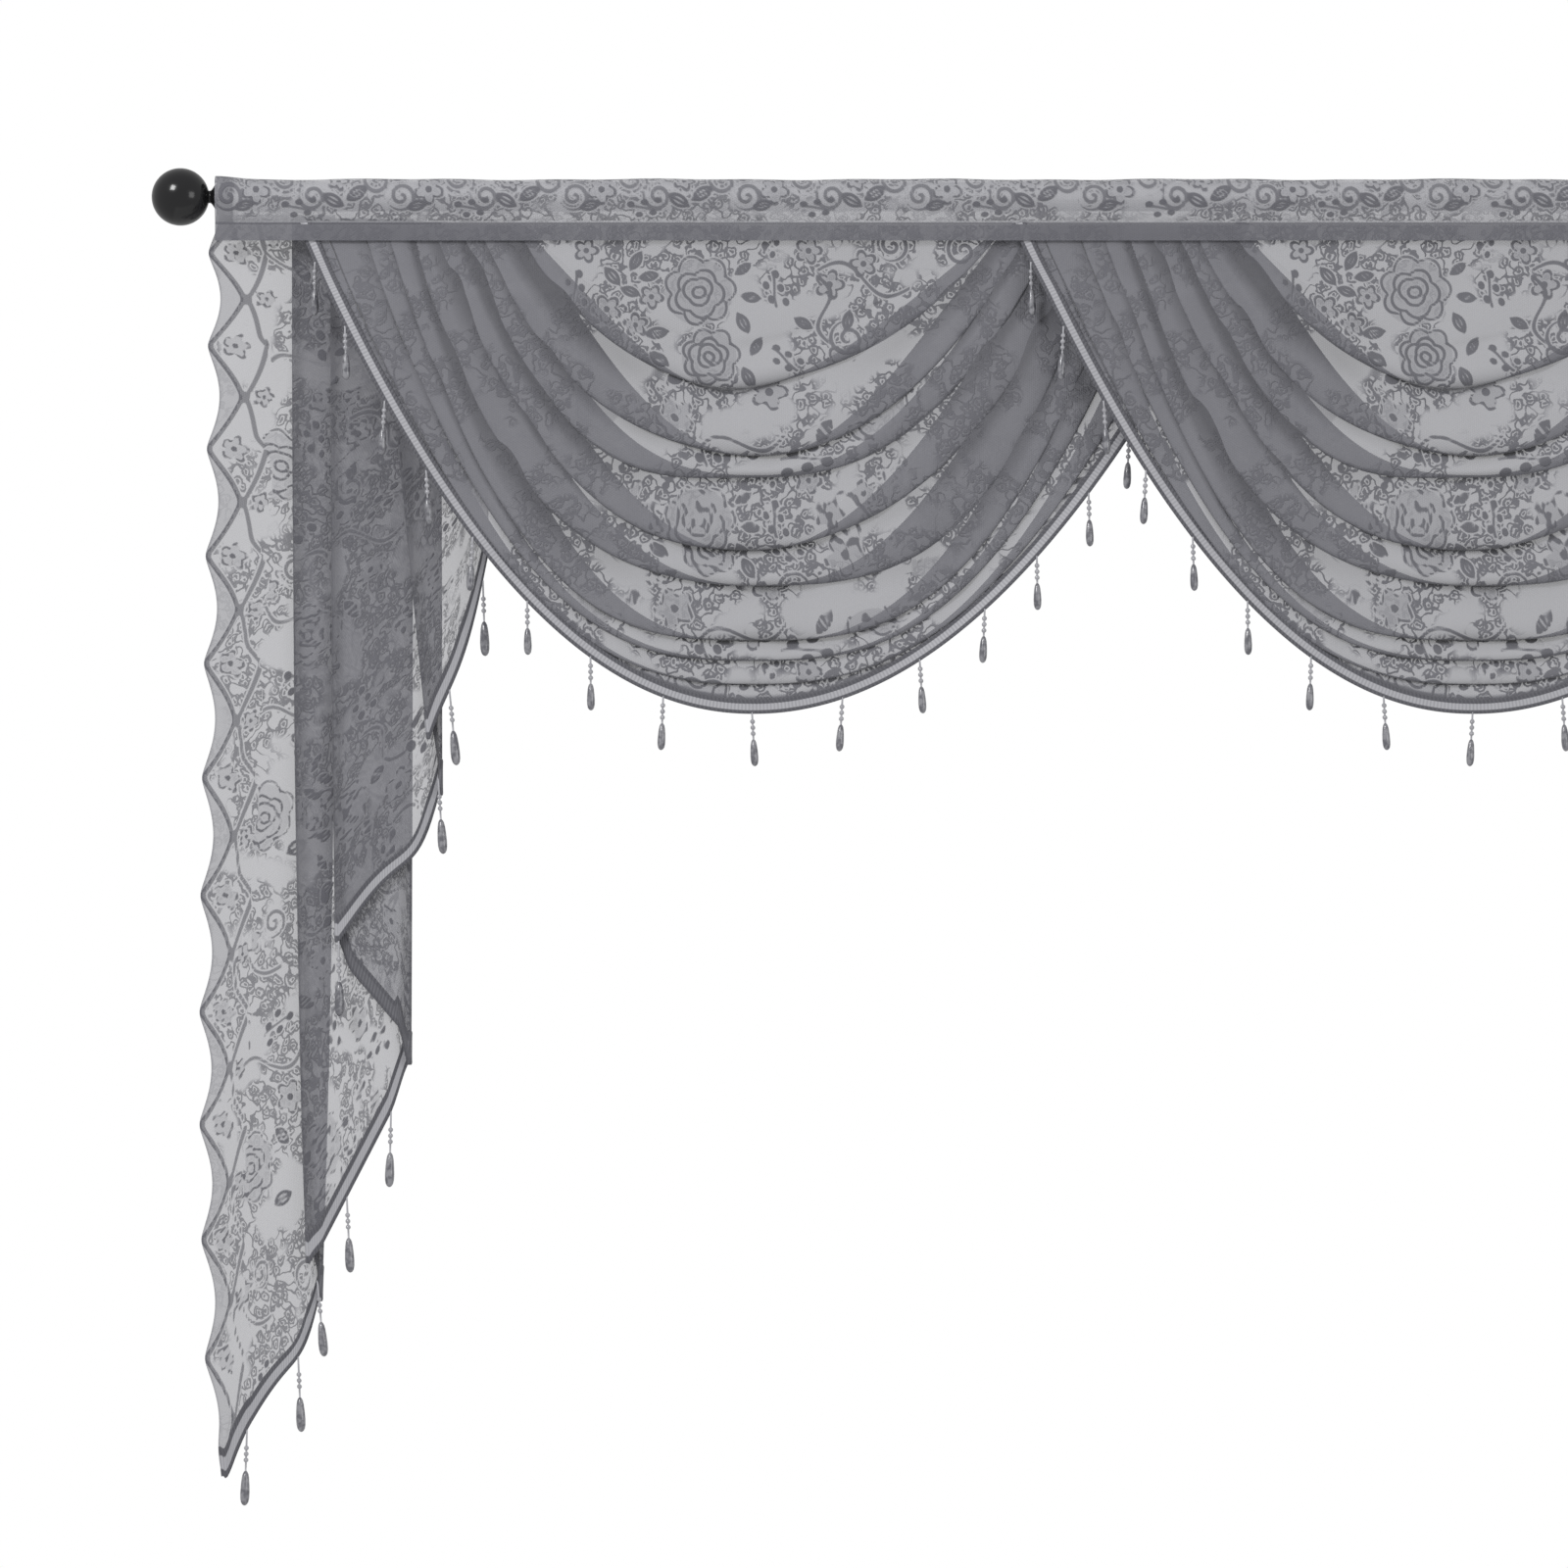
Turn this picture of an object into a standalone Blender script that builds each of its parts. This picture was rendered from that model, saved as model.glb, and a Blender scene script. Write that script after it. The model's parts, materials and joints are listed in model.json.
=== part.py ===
"""Swag valance on a rod.

Two lace swags hang side by side between two pleated cascades, all sewn under a rod-pocket heading.
A braid with bead drops runs along every hem. The origin is the middle of the rod, X runs along the
rod, the room is towards -Y and Z is up. Lengths are in metres.
"""

import math

import bmesh
import bpy
from mathutils import Matrix, Vector

# Rod and finials
ROD_RADIUS = 0.011
ROD_HALF = 0.6925
BALL_RADIUS = 0.022
BALL_CENTRE = 0.0285
COLLAR_RADIUS = 0.0095
NECK_RADIUS = 0.0048
ROUND_SIDES = 16
GAP = 0.0004

# Cloth and braid
CLOTH = 0.0010
BRAID = 0.0012
BRAID_WIDTH = 0.0085
SEAM_GAP = 0.0006

# Heading: the pocket round the rod, and the skirt that hides the sewn edges
HEADING_HALF = 0.6945
POCKET_RADIUS = ROD_RADIUS + GAP + CLOTH / 2 + 0.0004
SEAM_Z = -0.0203
SKIRT_Z = -0.0338
SKIRT_Y = -0.0060
CORNER_LIFT = 0.0030
HEADING_COLUMNS = 16

# Swags: two alike, one pitch apart, the right end of each behind the left end of the next
SEWN_Z = -0.0213
SWAG_PITCH = 0.5468
SWAG_LOW_X = (-0.2828, -0.2828 + SWAG_PITCH)
SWAG_COLUMNS = 20
SWAG_FINE_LINES = 12
SWAG_FRONT_LEFT = 0.0034
SWAG_FRONT_RIGHT = 0.0008
SWAG_BELLY = 0.046
SWAG_LEAD = 0.019
SWAG_HELD_DROP = 0.014
SWAG_FREE_LEFT = 0.040
SWAG_FREE_RIGHT = 0.100
COLUMN_CROWDING = 1.6

# A row for each line across a swag, from the sewn edge to the hem. The ends are where the line meets
# the sewn edge, left and right of the swag's middle; low is the x of its lowest point, drop how far
# that hangs, bow how square the curve is, and fold how far the roll or crease stands in or out.
SWAG_LINES = (
    # name, left end, right end, low, drop, bow left, bow right, fold
    ("sewn_edge", -0.177, 0.189, -0.020, 0.000, 1.80, 1.80, 0.0000),
    ("upper_panel", -0.177, 0.189, -0.020, 0.068, 1.80, 1.80, 0.0010),
    ("first_crease", -0.177, 0.189, -0.020, 0.127, 1.80, 1.80, -0.0050),
    ("first_roll", -0.188, 0.196, -0.011, 0.153, 1.95, 1.95, 0.0080),
    ("second_crease", -0.200, 0.205, 0.001, 0.178, 2.10, 2.10, -0.0060),
    ("narrow_roll", -0.206, 0.212, 0.002, 0.185, 2.40, 2.10, 0.0020),
    ("third_crease", -0.214, 0.219, 0.005, 0.193, 2.80, 2.15, -0.0060),
    ("broad_roll", -0.222, 0.235, 0.001, 0.220, 2.70, 2.10, 0.0090),
    ("fourth_crease", -0.230, 0.248, -0.003, 0.250, 2.40, 2.05, -0.0075),
    ("fourth_roll", -0.240, 0.254, -0.001, 0.262, 2.40, 2.30, 0.0045),
    ("fifth_crease", -0.250, 0.261, 0.002, 0.277, 2.35, 2.50, -0.0065),
    ("fifth_roll", -0.258, 0.268, 0.002, 0.301, 2.70, 2.70, 0.0080),
    ("sixth_crease", -0.267, 0.275, 0.002, 0.319, 3.00, 2.90, -0.0080),
    ("sixth_roll", -0.275, 0.287, 0.002, 0.326, 2.90, 2.75, 0.0030),
    ("seventh_crease", -0.284, 0.300, 0.002, 0.334, 2.80, 2.70, -0.0042),
    ("seventh_roll", -0.293, 0.314, 0.002, 0.343, 2.70, 2.60, 0.0036),
    ("eighth_crease", -0.308, 0.330, 0.001, 0.352, 2.55, 2.45, -0.0036),
    ("eighth_roll", -0.322, 0.350, 0.001, 0.358, 2.38, 2.25, 0.0022),
    ("braid_line", -0.337, 0.368, 0.000, 0.3638, 2.12, 2.05, 0.0000),
    ("hem", -0.349, 0.380, 0.000, 0.3748, 2.10, 2.03, -0.0005),
)
BRAID_LINE = 18
HEM_LINE = 19

# Cascades: one cloth pleated to and fro, its long scalloped side behind and its short side in front
CASCADE_FRONT_Y = 0.0021
PLEAT_GAP_TOP = 0.0019
PLEAT_GAP_LOW = 0.0058
PLEAT_OPEN_DROP = 0.55
CASCADE_ROWS = 20
EDGE_CUTS = 3
HEM_RISE = 0.0180
HEM_SEAM_RISE = 0.0034
TOP_SLOPE = 0.75

# How far the outer edge bows outwards, most below its middle
EDGE_BOW = 0.0085
EDGE_BOW_LOW = 1.6

# A row for each edge and fold of the left cascade, from the outer edge to the inner one. With a swing
# of 1 a fold runs straight from top to hem, and with more it hangs plumb first and swings near the hem.
CASCADE_FOLDS = (
    # name, x at the top, x at the hem, swing, z of the hem
    ("outer_edge", -0.6915, -0.6910, 3.0, -0.9805),
    ("first_fold", -0.6038, -0.6150, 2.6, -0.8475),
    ("second_fold", -0.6368, -0.6270, 3.0, -0.8180),
    ("third_fold", -0.5438, -0.5467, 1.0, -0.6638),
    ("fourth_fold", -0.6070, -0.6008, 3.0, -0.5708),
    ("fifth_fold", -0.5220, -0.5213, 1.0, -0.4582),
    ("sixth_fold", -0.5720, -0.5330, 1.0, -0.4150),
    ("inner_edge", -0.4845, -0.4860, 1.0, -0.2745),
)

# How far the hem of each layer sags below the straight line between its two folds
LAYER_SAG = (0.0070, 0.0, 0.0020, 0.0, 0.0110, 0.0, 0.0060)

# Scallops of the outer edge: the peaks lie further apart towards the tip
SCALLOP_DEPTH = 0.0112
SCALLOP_FIRST_Z = -0.0420
SCALLOP_PITCH = 0.0746
SCALLOP_GROWTH = 0.00101
SCALLOP_END_Z = -0.9805
SCALLOP_FADE = 0.045

# Bead drops: radius and height of each turning point, from the root in the braid downwards
SWAG_DROP_PROFILE = (
    # radius, z
    (0.0000, 0.0030),
    (0.0005, 0.0030),
    (0.0005, -0.0050),
    (0.0026, -0.0078),
    (0.0005, -0.0106),
    (0.0006, -0.0195),
    (0.0027, -0.0235),
    (0.0032, -0.0360),
    (0.0000, -0.0400),
)
CASCADE_DROP_PROFILE = (
    # radius, z
    (0.0000, 0.0030),
    (0.0005, 0.0030),
    (0.0005, -0.0105),
    (0.0026, -0.0140),
    (0.0005, -0.0175),
    (0.0006, -0.0310),
    (0.0028, -0.0350),
    (0.0037, -0.0520),
    (0.0000, -0.0570),
)
DROP_LEAN = math.radians(6)
DROP_SWAY = math.radians(3)

# How far along the swag's hem each drop hangs, from the hem's left end
SWAG_DROPS = (
    0.035, 0.096, 0.160, 0.222, 0.284, 0.347, 0.411, 0.474, 0.543,
    0.613, 0.678, 0.741, 0.798, 0.861, 0.915, 0.977, 1.042,
)  # fmt: skip

# Where the cascade's drops hang, counted in folds from the outer edge
CASCADE_DROPS = (0.23, 0.79, 1.0, 2.38, 2.80, 4.0, 5.0, 6.34, 6.88)

COLOURS = {
    "lace": ((0.156, 0.156, 0.178), 0.85, 0.0),
    "trim": ((0.300, 0.300, 0.325), 0.55, 0.0),
    "black_metal": ((0.012, 0.012, 0.013), 0.22, 0.0),
}


def material(name):
    """The Principled material of that name, made on first use."""
    found = bpy.data.materials.get(name)
    if found:
        return found
    colour, roughness, metallic = COLOURS[name]
    made = bpy.data.materials.new(name)
    made.use_nodes = True
    shader = made.node_tree.nodes["Principled BSDF"]
    shader.inputs["Base Color"].default_value = (*colour, 1.0)
    shader.inputs["Roughness"].default_value = roughness
    shader.inputs["Metallic"].default_value = metallic
    return made


def keep(name, mesh, collection, slot, smooth=True):
    """An object of that mesh in the collection, with its material and shading."""
    obj = bpy.data.objects.new(name, mesh)
    collection.objects.link(obj)
    mesh.materials.append(material(slot))
    for face in mesh.polygons:
        face.use_smooth = smooth
    return obj


def ease(t):
    """A soft step from 0 to 1."""
    t = min(1.0, max(0.0, t))
    return t * t * (3 - 2 * t)


def mix(a, b, t):
    return a + (b - a) * t


def sheet(name, columns, rows, place, thickness, collection, slot, edge_cuts=0):
    """A thin closed sheet: a flat grid whose points place(u, v) hangs, then given its thickness."""
    cloth = bmesh.new()
    bmesh.ops.create_grid(cloth, x_segments=columns, y_segments=rows, size=0.5)
    if edge_cuts:
        outer = [e for e in cloth.edges if all(v.co.x < -0.4999 for v in e.verts)]
        bmesh.ops.subdivide_edges(cloth, edges=outer, cuts=edge_cuts)
    for vert in cloth.verts:
        vert.co = place(vert.co.x + 0.5, 0.5 - vert.co.y)
    mesh = bpy.data.meshes.new(name)
    cloth.to_mesh(mesh)
    cloth.free()
    obj = keep(name, mesh, collection, slot)
    solid = obj.modifiers.new("thickness", "SOLIDIFY")
    solid.thickness = thickness
    solid.offset = 0.0
    return obj


def turned(name, profile, sides, collection, slot):
    """A shape turned about Z from a profile that runs from its top to its bottom."""
    outline = bmesh.new()
    verts = [outline.verts.new((radius, 0, z)) for radius, z in profile]
    for above, below in zip(verts, verts[1:]):
        outline.edges.new((above, below))
    mesh = bpy.data.meshes.new(name)
    outline.to_mesh(mesh)
    outline.free()
    obj = keep(name, mesh, collection, slot)
    screw = obj.modifiers.new("turn", "SCREW")
    screw.axis = "Z"
    screw.steps = sides
    screw.render_steps = sides
    screw.use_merge_vertices = True
    screw.merge_threshold = 0.00001
    screw.use_smooth_shade = True
    return obj


def baked(obj):
    """The mesh that an object's modifiers and placing give."""
    bpy.context.view_layer.update()
    seen = obj.evaluated_get(bpy.context.evaluated_depsgraph_get())
    mesh = bpy.data.meshes.new_from_object(seen)
    mesh.transform(obj.matrix_world)
    return mesh


# Rod and finials


def make_rod(collection):
    """A plain round pole."""
    bpy.ops.mesh.primitive_cylinder_add(
        vertices=ROUND_SIDES + 8, radius=ROD_RADIUS, depth=2 * ROD_HALF, rotation=(0, math.pi / 2, 0)
    )
    rod = bpy.context.object
    rod.name = "rod"
    rod.data.name = "rod"
    for owner in rod.users_collection:
        owner.objects.unlink(rod)
    collection.objects.link(rod)
    rod.data.materials.append(material("black_metal"))
    for face in rod.data.polygons:
        face.use_smooth = len(face.vertices) == 4


def make_finial(side, collection):
    """A ball on a short neck that flares to a collar against the rod's end."""
    neck_angle = math.asin(NECK_RADIUS / BALL_RADIUS)
    profile = [(0.0, BALL_CENTRE + BALL_RADIUS)]
    bends = 12
    for step in range(1, bends + 1):
        angle = (math.pi - neck_angle) * step / bends
        profile.append((BALL_RADIUS * math.sin(angle), BALL_CENTRE + BALL_RADIUS * math.cos(angle)))
    profile += [
        (NECK_RADIUS, 0.0045),
        (COLLAR_RADIUS * 0.8, 0.0022),
        (COLLAR_RADIUS, 0.0010),
        (COLLAR_RADIUS, 0.0),
        (0.0, 0.0),
    ]
    name = "finial_left" if side < 0 else "finial_right"
    finial = turned(name, profile, ROUND_SIDES, collection, "black_metal")
    finial.location = (side * (ROD_HALF + GAP), 0, 0)
    finial.rotation_euler = (0, side * math.pi / 2, 0)


# Heading


def heading_section():
    """Points (y, z) of the heading from the skirt's lower edge, over the rod, back to the seam."""
    points = [(SKIRT_Y, SKIRT_Z), (SKIRT_Y, -0.0245), (-0.0054, SEAM_Z), (-0.0088, -0.0135)]
    for degrees in range(195, -16, -30):
        angle = math.radians(degrees)
        points.append((POCKET_RADIUS * math.cos(angle), POCKET_RADIUS * math.sin(angle)))
    return points + [(0.0092, -0.0098), (0.0035, -0.0150), (-0.0030, SEAM_Z + 0.0006)]


def make_heading(collection):
    """The rod pocket with its skirt, one cloth along the rod, its upper corners a little raised."""
    section = heading_section()
    last = len(section) - 1

    def place(u, v):
        x = HEADING_HALF * math.sin((u - 0.5) * math.pi)
        y, z = section[round(v * last)]
        near_end = math.exp(-(((HEADING_HALF - abs(x)) / 0.02) ** 2))
        ripple = 0.0004 * math.sin(x * 31) + 0.0003 * math.sin(x * 83)
        lift = CORNER_LIFT * near_end + 0.0004 + ripple
        return Vector((x, y, z + lift * ease(z / 0.010)))

    sheet("heading", HEADING_COLUMNS, last, place, CLOTH, collection, "lace")


# Swags


def swag_line(level):
    """The values of the table between two of its rows: folds ease, the rest runs straight."""
    first = min(int(level), len(SWAG_LINES) - 2)
    t = level - first
    above = SWAG_LINES[first][1:]
    below = SWAG_LINES[first + 1][1:]
    straight = [mix(a, b, t) for a, b in zip(above, below)]
    straight[-1] = mix(above[-1], below[-1], ease(t))
    return straight


def swag_point(low_x, across, level):
    """A point of a swag: across runs -1 at the left end, 0 at the low point, 1 at the right end."""
    left, right, low, drop, bow_left, bow_right, fold = swag_line(level)
    bow = bow_left if across < 0 else bow_right
    reach = abs(across)
    x = low_x + low + reach * ((left - low) if across < 0 else (right - low))
    fall = drop * (1 - reach**bow)
    free = ease((fall - SWAG_HELD_DROP) / mix(SWAG_FREE_LEFT, SWAG_FREE_RIGHT, (across + 1) / 2))
    belly = SWAG_BELLY * (drop / SWAG_LINES[HEM_LINE][4]) ** 0.8
    side = 1 - reach ** (3.0 if across < 0 else 1.4)
    lead = SWAG_LEAD * max(0.0, -across) ** 2
    crowding = 1 - (0.45 if across < 0 else 0.8) * reach**4
    front = mix(SWAG_FRONT_LEFT, SWAG_FRONT_RIGHT, (across + 1) / 2)
    forward = front + free * (belly * side + lead + fold * crowding)
    return Vector((x, -forward, SEWN_Z - fall))


def swag_across(u):
    """Where a column stands from -1 to 1, as u runs 0 to 1: the columns crowd toward both ends."""
    share = 2 * u - 1
    return math.copysign(1 - (1 - abs(share)) ** COLUMN_CROWDING, share)


def swag_levels():
    """Heights of the cloth's rows: two to a line in the broad folds, one in the narrow ones below."""
    broad = [step / 2 for step in range(2 * SWAG_FINE_LINES)]
    return broad + list(range(SWAG_FINE_LINES, BRAID_LINE + 1))


def make_swag(name, low_x, collection):
    """The cloth of one swag, down to the braid."""
    levels = swag_levels()
    rows = len(levels) - 1

    def place(u, v):
        return swag_point(low_x, swag_across(u), levels[round(v * rows)])

    sheet(name, SWAG_COLUMNS, rows, place, CLOTH, collection, "lace")


def swag_braid_point(low_x, across, v):
    """A point of the braid: v runs from its upper edge, just clear of the cloth, to the hem."""
    upper = BRAID_LINE + SEAM_GAP * 2 / BRAID_WIDTH
    return swag_point(low_x, across, mix(upper, HEM_LINE, v))


def swag_drop_roots(low_x):
    """Where the drops hang: points along the braid's lower edge."""
    shares = [swag_across(column / SWAG_COLUMNS) for column in range(SWAG_COLUMNS + 1)]
    hem = [swag_point(low_x, across, HEM_LINE) for across in shares]
    roots = []
    run = 0.0
    for before, after in zip(hem, hem[1:]):
        length = (after - before).length
        roots += [before.lerp(after, (at - run) / length) for at in SWAG_DROPS if run <= at < run + length]
        run += length
    return roots


# Cascades


def scallop(z):
    """How far the outer edge reaches out at that height, 0 in a hollow and 1 on a peak."""
    below = max(0.0, SCALLOP_FIRST_Z - z)
    turn = math.sqrt(SCALLOP_PITCH**2 + 4 * SCALLOP_GROWTH * below)
    count = (turn - SCALLOP_PITCH) / (2 * SCALLOP_GROWTH)
    wave = math.sin(math.pi * count)
    peak = 1 - math.sqrt(wave * wave + 0.03) / math.sqrt(1.03)
    return peak * ease((z - SCALLOP_END_Z) / SCALLOP_FADE)


def pleat_gap(z):
    """Distance between two layers of the cascade at that height."""
    return mix(PLEAT_GAP_TOP, PLEAT_GAP_LOW, ease((SEWN_Z - z) / PLEAT_OPEN_DROP))


def fold_x(fold, share):
    """Where an edge or fold stands at that share of the way from the top to the hem."""
    _, top, hem, swing, _ = CASCADE_FOLDS[fold]
    return mix(top, hem, min(1.0, max(0.0, share)) ** swing)


def cascade_point(side, along, fall, rise):
    """A point of a cascade: along counts folds from the outer edge, fall runs to rise above the hem."""
    last = len(CASCADE_FOLDS) - 1
    first = min(int(along), last - 1)
    t = along - first
    hem_z_a = CASCADE_FOLDS[first][-1]
    hem_z_b = CASCADE_FOLDS[first + 1][-1]
    layer = last - 1 - first
    top_z = SEWN_Z + TOP_SLOPE * PLEAT_GAP_TOP * layer
    inner = min(1.0, max(0.0, t))
    hem_z = mix(hem_z_a, hem_z_b, t) - LAYER_SAG[first] * math.sin(math.pi * inner)
    z = mix(top_z, hem_z + rise, fall)
    share = (top_z - z) / (top_z - hem_z)
    edge_a = fold_x(first, share)
    edge_b = fold_x(first + 1, share)
    gap = pleat_gap(z)
    turn = gap / 2 / abs(edge_b - edge_a)
    at_fold_a = first > 0 and inner < turn
    at_fold_b = first < last - 1 and inner > 1 - turn
    y = CASCADE_FRONT_Y + gap * layer
    if at_fold_a:
        y += gap / 2 * (1 - inner / turn)
    if at_fold_b:
        y -= gap / 2 * (1 - (1 - inner) / turn)
    sway = 0.0012 * ease((SEWN_Z - z) / 0.2) * math.sin(z * 21 + 1.3)
    x = mix(edge_a, edge_b, inner)
    if first == 0:
        x -= EDGE_BOW * math.sin(math.pi * min(1.0, share) ** EDGE_BOW_LOW) * (1 - inner)
    if along == 0:
        x -= SCALLOP_DEPTH * scallop(z)
    return Vector((side * -x, y + sway, z))


def cascade_stations():
    """Where the cloth has columns: the edges, each fold, both sides of a fold and mid-layer."""
    turn = 0.03
    last = len(CASCADE_FOLDS) - 1
    stations = [0.0]
    for fold in range(1, last):
        stations += [fold - 0.5, fold - turn, float(fold), fold + turn]
    return stations + [last - 0.5, float(last)]


def cascade_sheet(name, side, rows, rise_from, rise, thickness, slot, collection, edge_cuts=0):
    """A stretch of a cascade over all its layers, down to rise above the hem; it starts at the sewn
    edge, or for the braid at the height rise_from above the hem."""
    stations = cascade_stations()
    last = len(stations) - 1

    def place(u, v):
        along = stations[round(u * last)]
        if rise_from is None:
            return pleated_point(side, along, v, rise)
        upper = pleated_point(side, along, 1.0, rise_from)
        return upper.lerp(pleated_point(side, along, 1.0, rise), v)

    return sheet(name, last, rows, place, thickness, collection, slot, edge_cuts)


def pleated_point(side, along, fall, rise):
    """A cascade point whose columns beside a fold keep half a pleat's gap from its edge."""
    nearest = round(along)
    off = along - nearest
    if 0 < nearest < len(CASCADE_FOLDS) - 1 and 0 < abs(off) < 0.1:
        edge = cascade_point(side, float(nearest), fall, rise)
        first = nearest if off > 0 else nearest - 1
        width = abs(fold_x(first + 1, fall) - fold_x(first, fall))
        off = math.copysign(pleat_gap(edge.z) / 2 / width, off)
    return cascade_point(side, nearest + off, fall, rise)


# Braid and drops


def make_drop(profile, root, number, helpers):
    """One bead drop, leaning a little to the front and swaying a little to one side."""
    drop = turned("drop", profile, 4, helpers, "trim")
    sway = DROP_SWAY * math.sin(number * 2.4 + root.x * 5)
    drop.matrix_world = (
        Matrix.Translation(root)
        @ Matrix.Rotation(-DROP_LEAN, 4, "X")
        @ Matrix.Rotation(sway, 4, "Y")
        @ Matrix.Rotation(math.radians(45), 4, "Z")
    )
    return drop


def add_drops(braid, profile, roots, helpers):
    """Join a drop at each root to the braid, as one solid."""
    cluster = bmesh.new()
    for number, root in enumerate(roots):
        mesh = baked(make_drop(profile, root, number, helpers))
        cluster.from_mesh(mesh)
    bmesh.ops.remove_doubles(cluster, verts=cluster.verts, dist=0.000001)
    mesh = bpy.data.meshes.new(braid.name + "_drops")
    cluster.to_mesh(mesh)
    cluster.free()
    drops = bpy.data.objects.new(mesh.name, mesh)
    helpers.objects.link(drops)
    union = braid.modifiers.new("drops", "BOOLEAN")
    union.operation = "UNION"
    union.solver = "EXACT"
    union.object = drops


def make_swag_trim(name, low_x, collection, helpers):
    """The swag's braid, a narrow strip that carries on from the cloth, with its drops."""

    def place(u, v):
        return swag_braid_point(low_x, swag_across(u), v)

    braid = sheet(name, SWAG_COLUMNS, 1, place, BRAID, collection, "trim")
    add_drops(braid, SWAG_DROP_PROFILE, swag_drop_roots(low_x), helpers)


def make_cascade_trim(name, side, collection, helpers):
    """The cascade's braid, folded to and fro like the hem it finishes, with its drops."""
    upper = HEM_RISE - HEM_SEAM_RISE
    braid = cascade_sheet(name, side, 1, upper, 0.0, BRAID, "trim", collection)
    roots = [cascade_point(side, along, 1.0, 0.0) for along in CASCADE_DROPS]
    add_drops(braid, CASCADE_DROP_PROFILE, roots, helpers)


def main():
    for obj in list(bpy.data.objects):
        bpy.data.objects.remove(obj, do_unlink=True)
    scene = bpy.context.scene
    valance = bpy.data.collections.new("swag_valance")
    helpers = bpy.data.collections.new("helpers")
    scene.collection.children.link(valance)
    scene.collection.children.link(helpers)

    make_rod(valance)
    make_heading(valance)
    for side, word in ((-1, "left"), (1, "right")):
        low_x = SWAG_LOW_X[0 if side < 0 else 1]
        make_finial(side, valance)
        make_swag(f"swag_{word}", low_x, valance)
        make_swag_trim(f"swag_{word}_trim", low_x, valance, helpers)
        cascade_sheet(
            f"cascade_{word}", side, CASCADE_ROWS, None, HEM_RISE, CLOTH, "lace", valance, EDGE_CUTS
        )
        make_cascade_trim(f"cascade_{word}_trim", side, valance, helpers)

    for obj in helpers.objects:
        obj.hide_render = True
        obj.display_type = "WIRE"


main()
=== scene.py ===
# %% [markdown]
# # A lace swag valance on a rod
#
# A swag valance is curtain trimming: a band that slides over a rod, cloths that hang from it in
# sagging folds, and pleated tails, called cascades, at the sides. This one is a sheer knitted lace
# with a flower figure, and every hem carries a braid with small bead drops.
#
# The solids of the part come first, as a fixed frame. Each cloth is then made again as a fine sheet
# on the same folds, because a sheer lace lives from its layers: where folds lap over each other the
# cloth turns dark, and where it hangs single the light comes through.

# %% Load the frame
import json
import math

import bmesh
import bpy
import numpy as np
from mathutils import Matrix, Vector

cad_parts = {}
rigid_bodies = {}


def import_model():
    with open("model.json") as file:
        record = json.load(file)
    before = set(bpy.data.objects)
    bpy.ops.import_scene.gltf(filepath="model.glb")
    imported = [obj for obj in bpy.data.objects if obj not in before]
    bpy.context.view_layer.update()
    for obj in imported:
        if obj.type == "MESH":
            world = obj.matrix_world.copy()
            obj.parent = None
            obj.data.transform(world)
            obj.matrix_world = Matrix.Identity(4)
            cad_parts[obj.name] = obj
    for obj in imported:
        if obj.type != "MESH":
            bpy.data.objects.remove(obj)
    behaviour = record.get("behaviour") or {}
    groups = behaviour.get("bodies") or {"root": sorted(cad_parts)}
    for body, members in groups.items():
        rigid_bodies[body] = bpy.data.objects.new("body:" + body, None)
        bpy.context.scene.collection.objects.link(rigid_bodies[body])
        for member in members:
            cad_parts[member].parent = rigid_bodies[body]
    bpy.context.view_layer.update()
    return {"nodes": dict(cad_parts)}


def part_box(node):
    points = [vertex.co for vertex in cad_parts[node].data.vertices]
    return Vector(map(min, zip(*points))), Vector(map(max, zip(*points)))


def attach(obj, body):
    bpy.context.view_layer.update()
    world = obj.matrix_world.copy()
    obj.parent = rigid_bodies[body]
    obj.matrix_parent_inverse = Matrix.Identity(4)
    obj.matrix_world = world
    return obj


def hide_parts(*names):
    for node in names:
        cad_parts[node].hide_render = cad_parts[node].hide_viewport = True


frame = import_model()
rod_low, rod_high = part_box("rod")
ROD_RADIUS = (rod_high.z - rod_low.z) / 2
ROD_HALF = rod_high.x
print("rod", round(2 * ROD_RADIUS * 1000, 1), "mm across and", round(2 * ROD_HALF, 3), "m long")

# %% [markdown]
# ## Sheets from arrays
#
# A cloth is one surface: a grid of points in rows and columns. Working the points out as whole numpy
# arrays keeps the formula in view and is fast enough for a hundred thousand of them. The grid's own
# distances, run up along its rows and columns, give the cloth its map, so that a pattern drawn on the
# map lies on the cloth as it was knitted, however the cloth is folded.


# %% Grid helpers
def ease(t):
    """A soft step: 0 below 0, 1 above 1, and 3t² - 2t³ between."""
    t = np.clip(t, 0.0, 1.0)
    return t * t * (3 - 2 * t)


def mix(a, b, t):
    """The value that lies the share t of the way from a to b."""
    return a + (b - a) * t


def run_along(points, axis):
    """The length run along an axis of the grid: distances from point to point, summed from 0."""
    steps = np.linalg.norm(np.diff(points, axis=axis), axis=2)
    start = np.zeros_like(np.take(steps, [0], axis=axis))
    return np.cumsum(np.concatenate([start, steps], axis=axis), axis=axis)


def line_run(points):
    """The length run along one line of points."""
    return run_along(points[None], 1)[0]


def points_at(places, run, line):
    """The points of a line at those places of its run."""
    return np.stack([np.interp(places, run, column) for column in line.T], axis=-1)


def full_turn(count):
    """Angles evenly round a circle."""
    return np.linspace(0, 2 * np.pi, count, endpoint=False)


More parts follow.
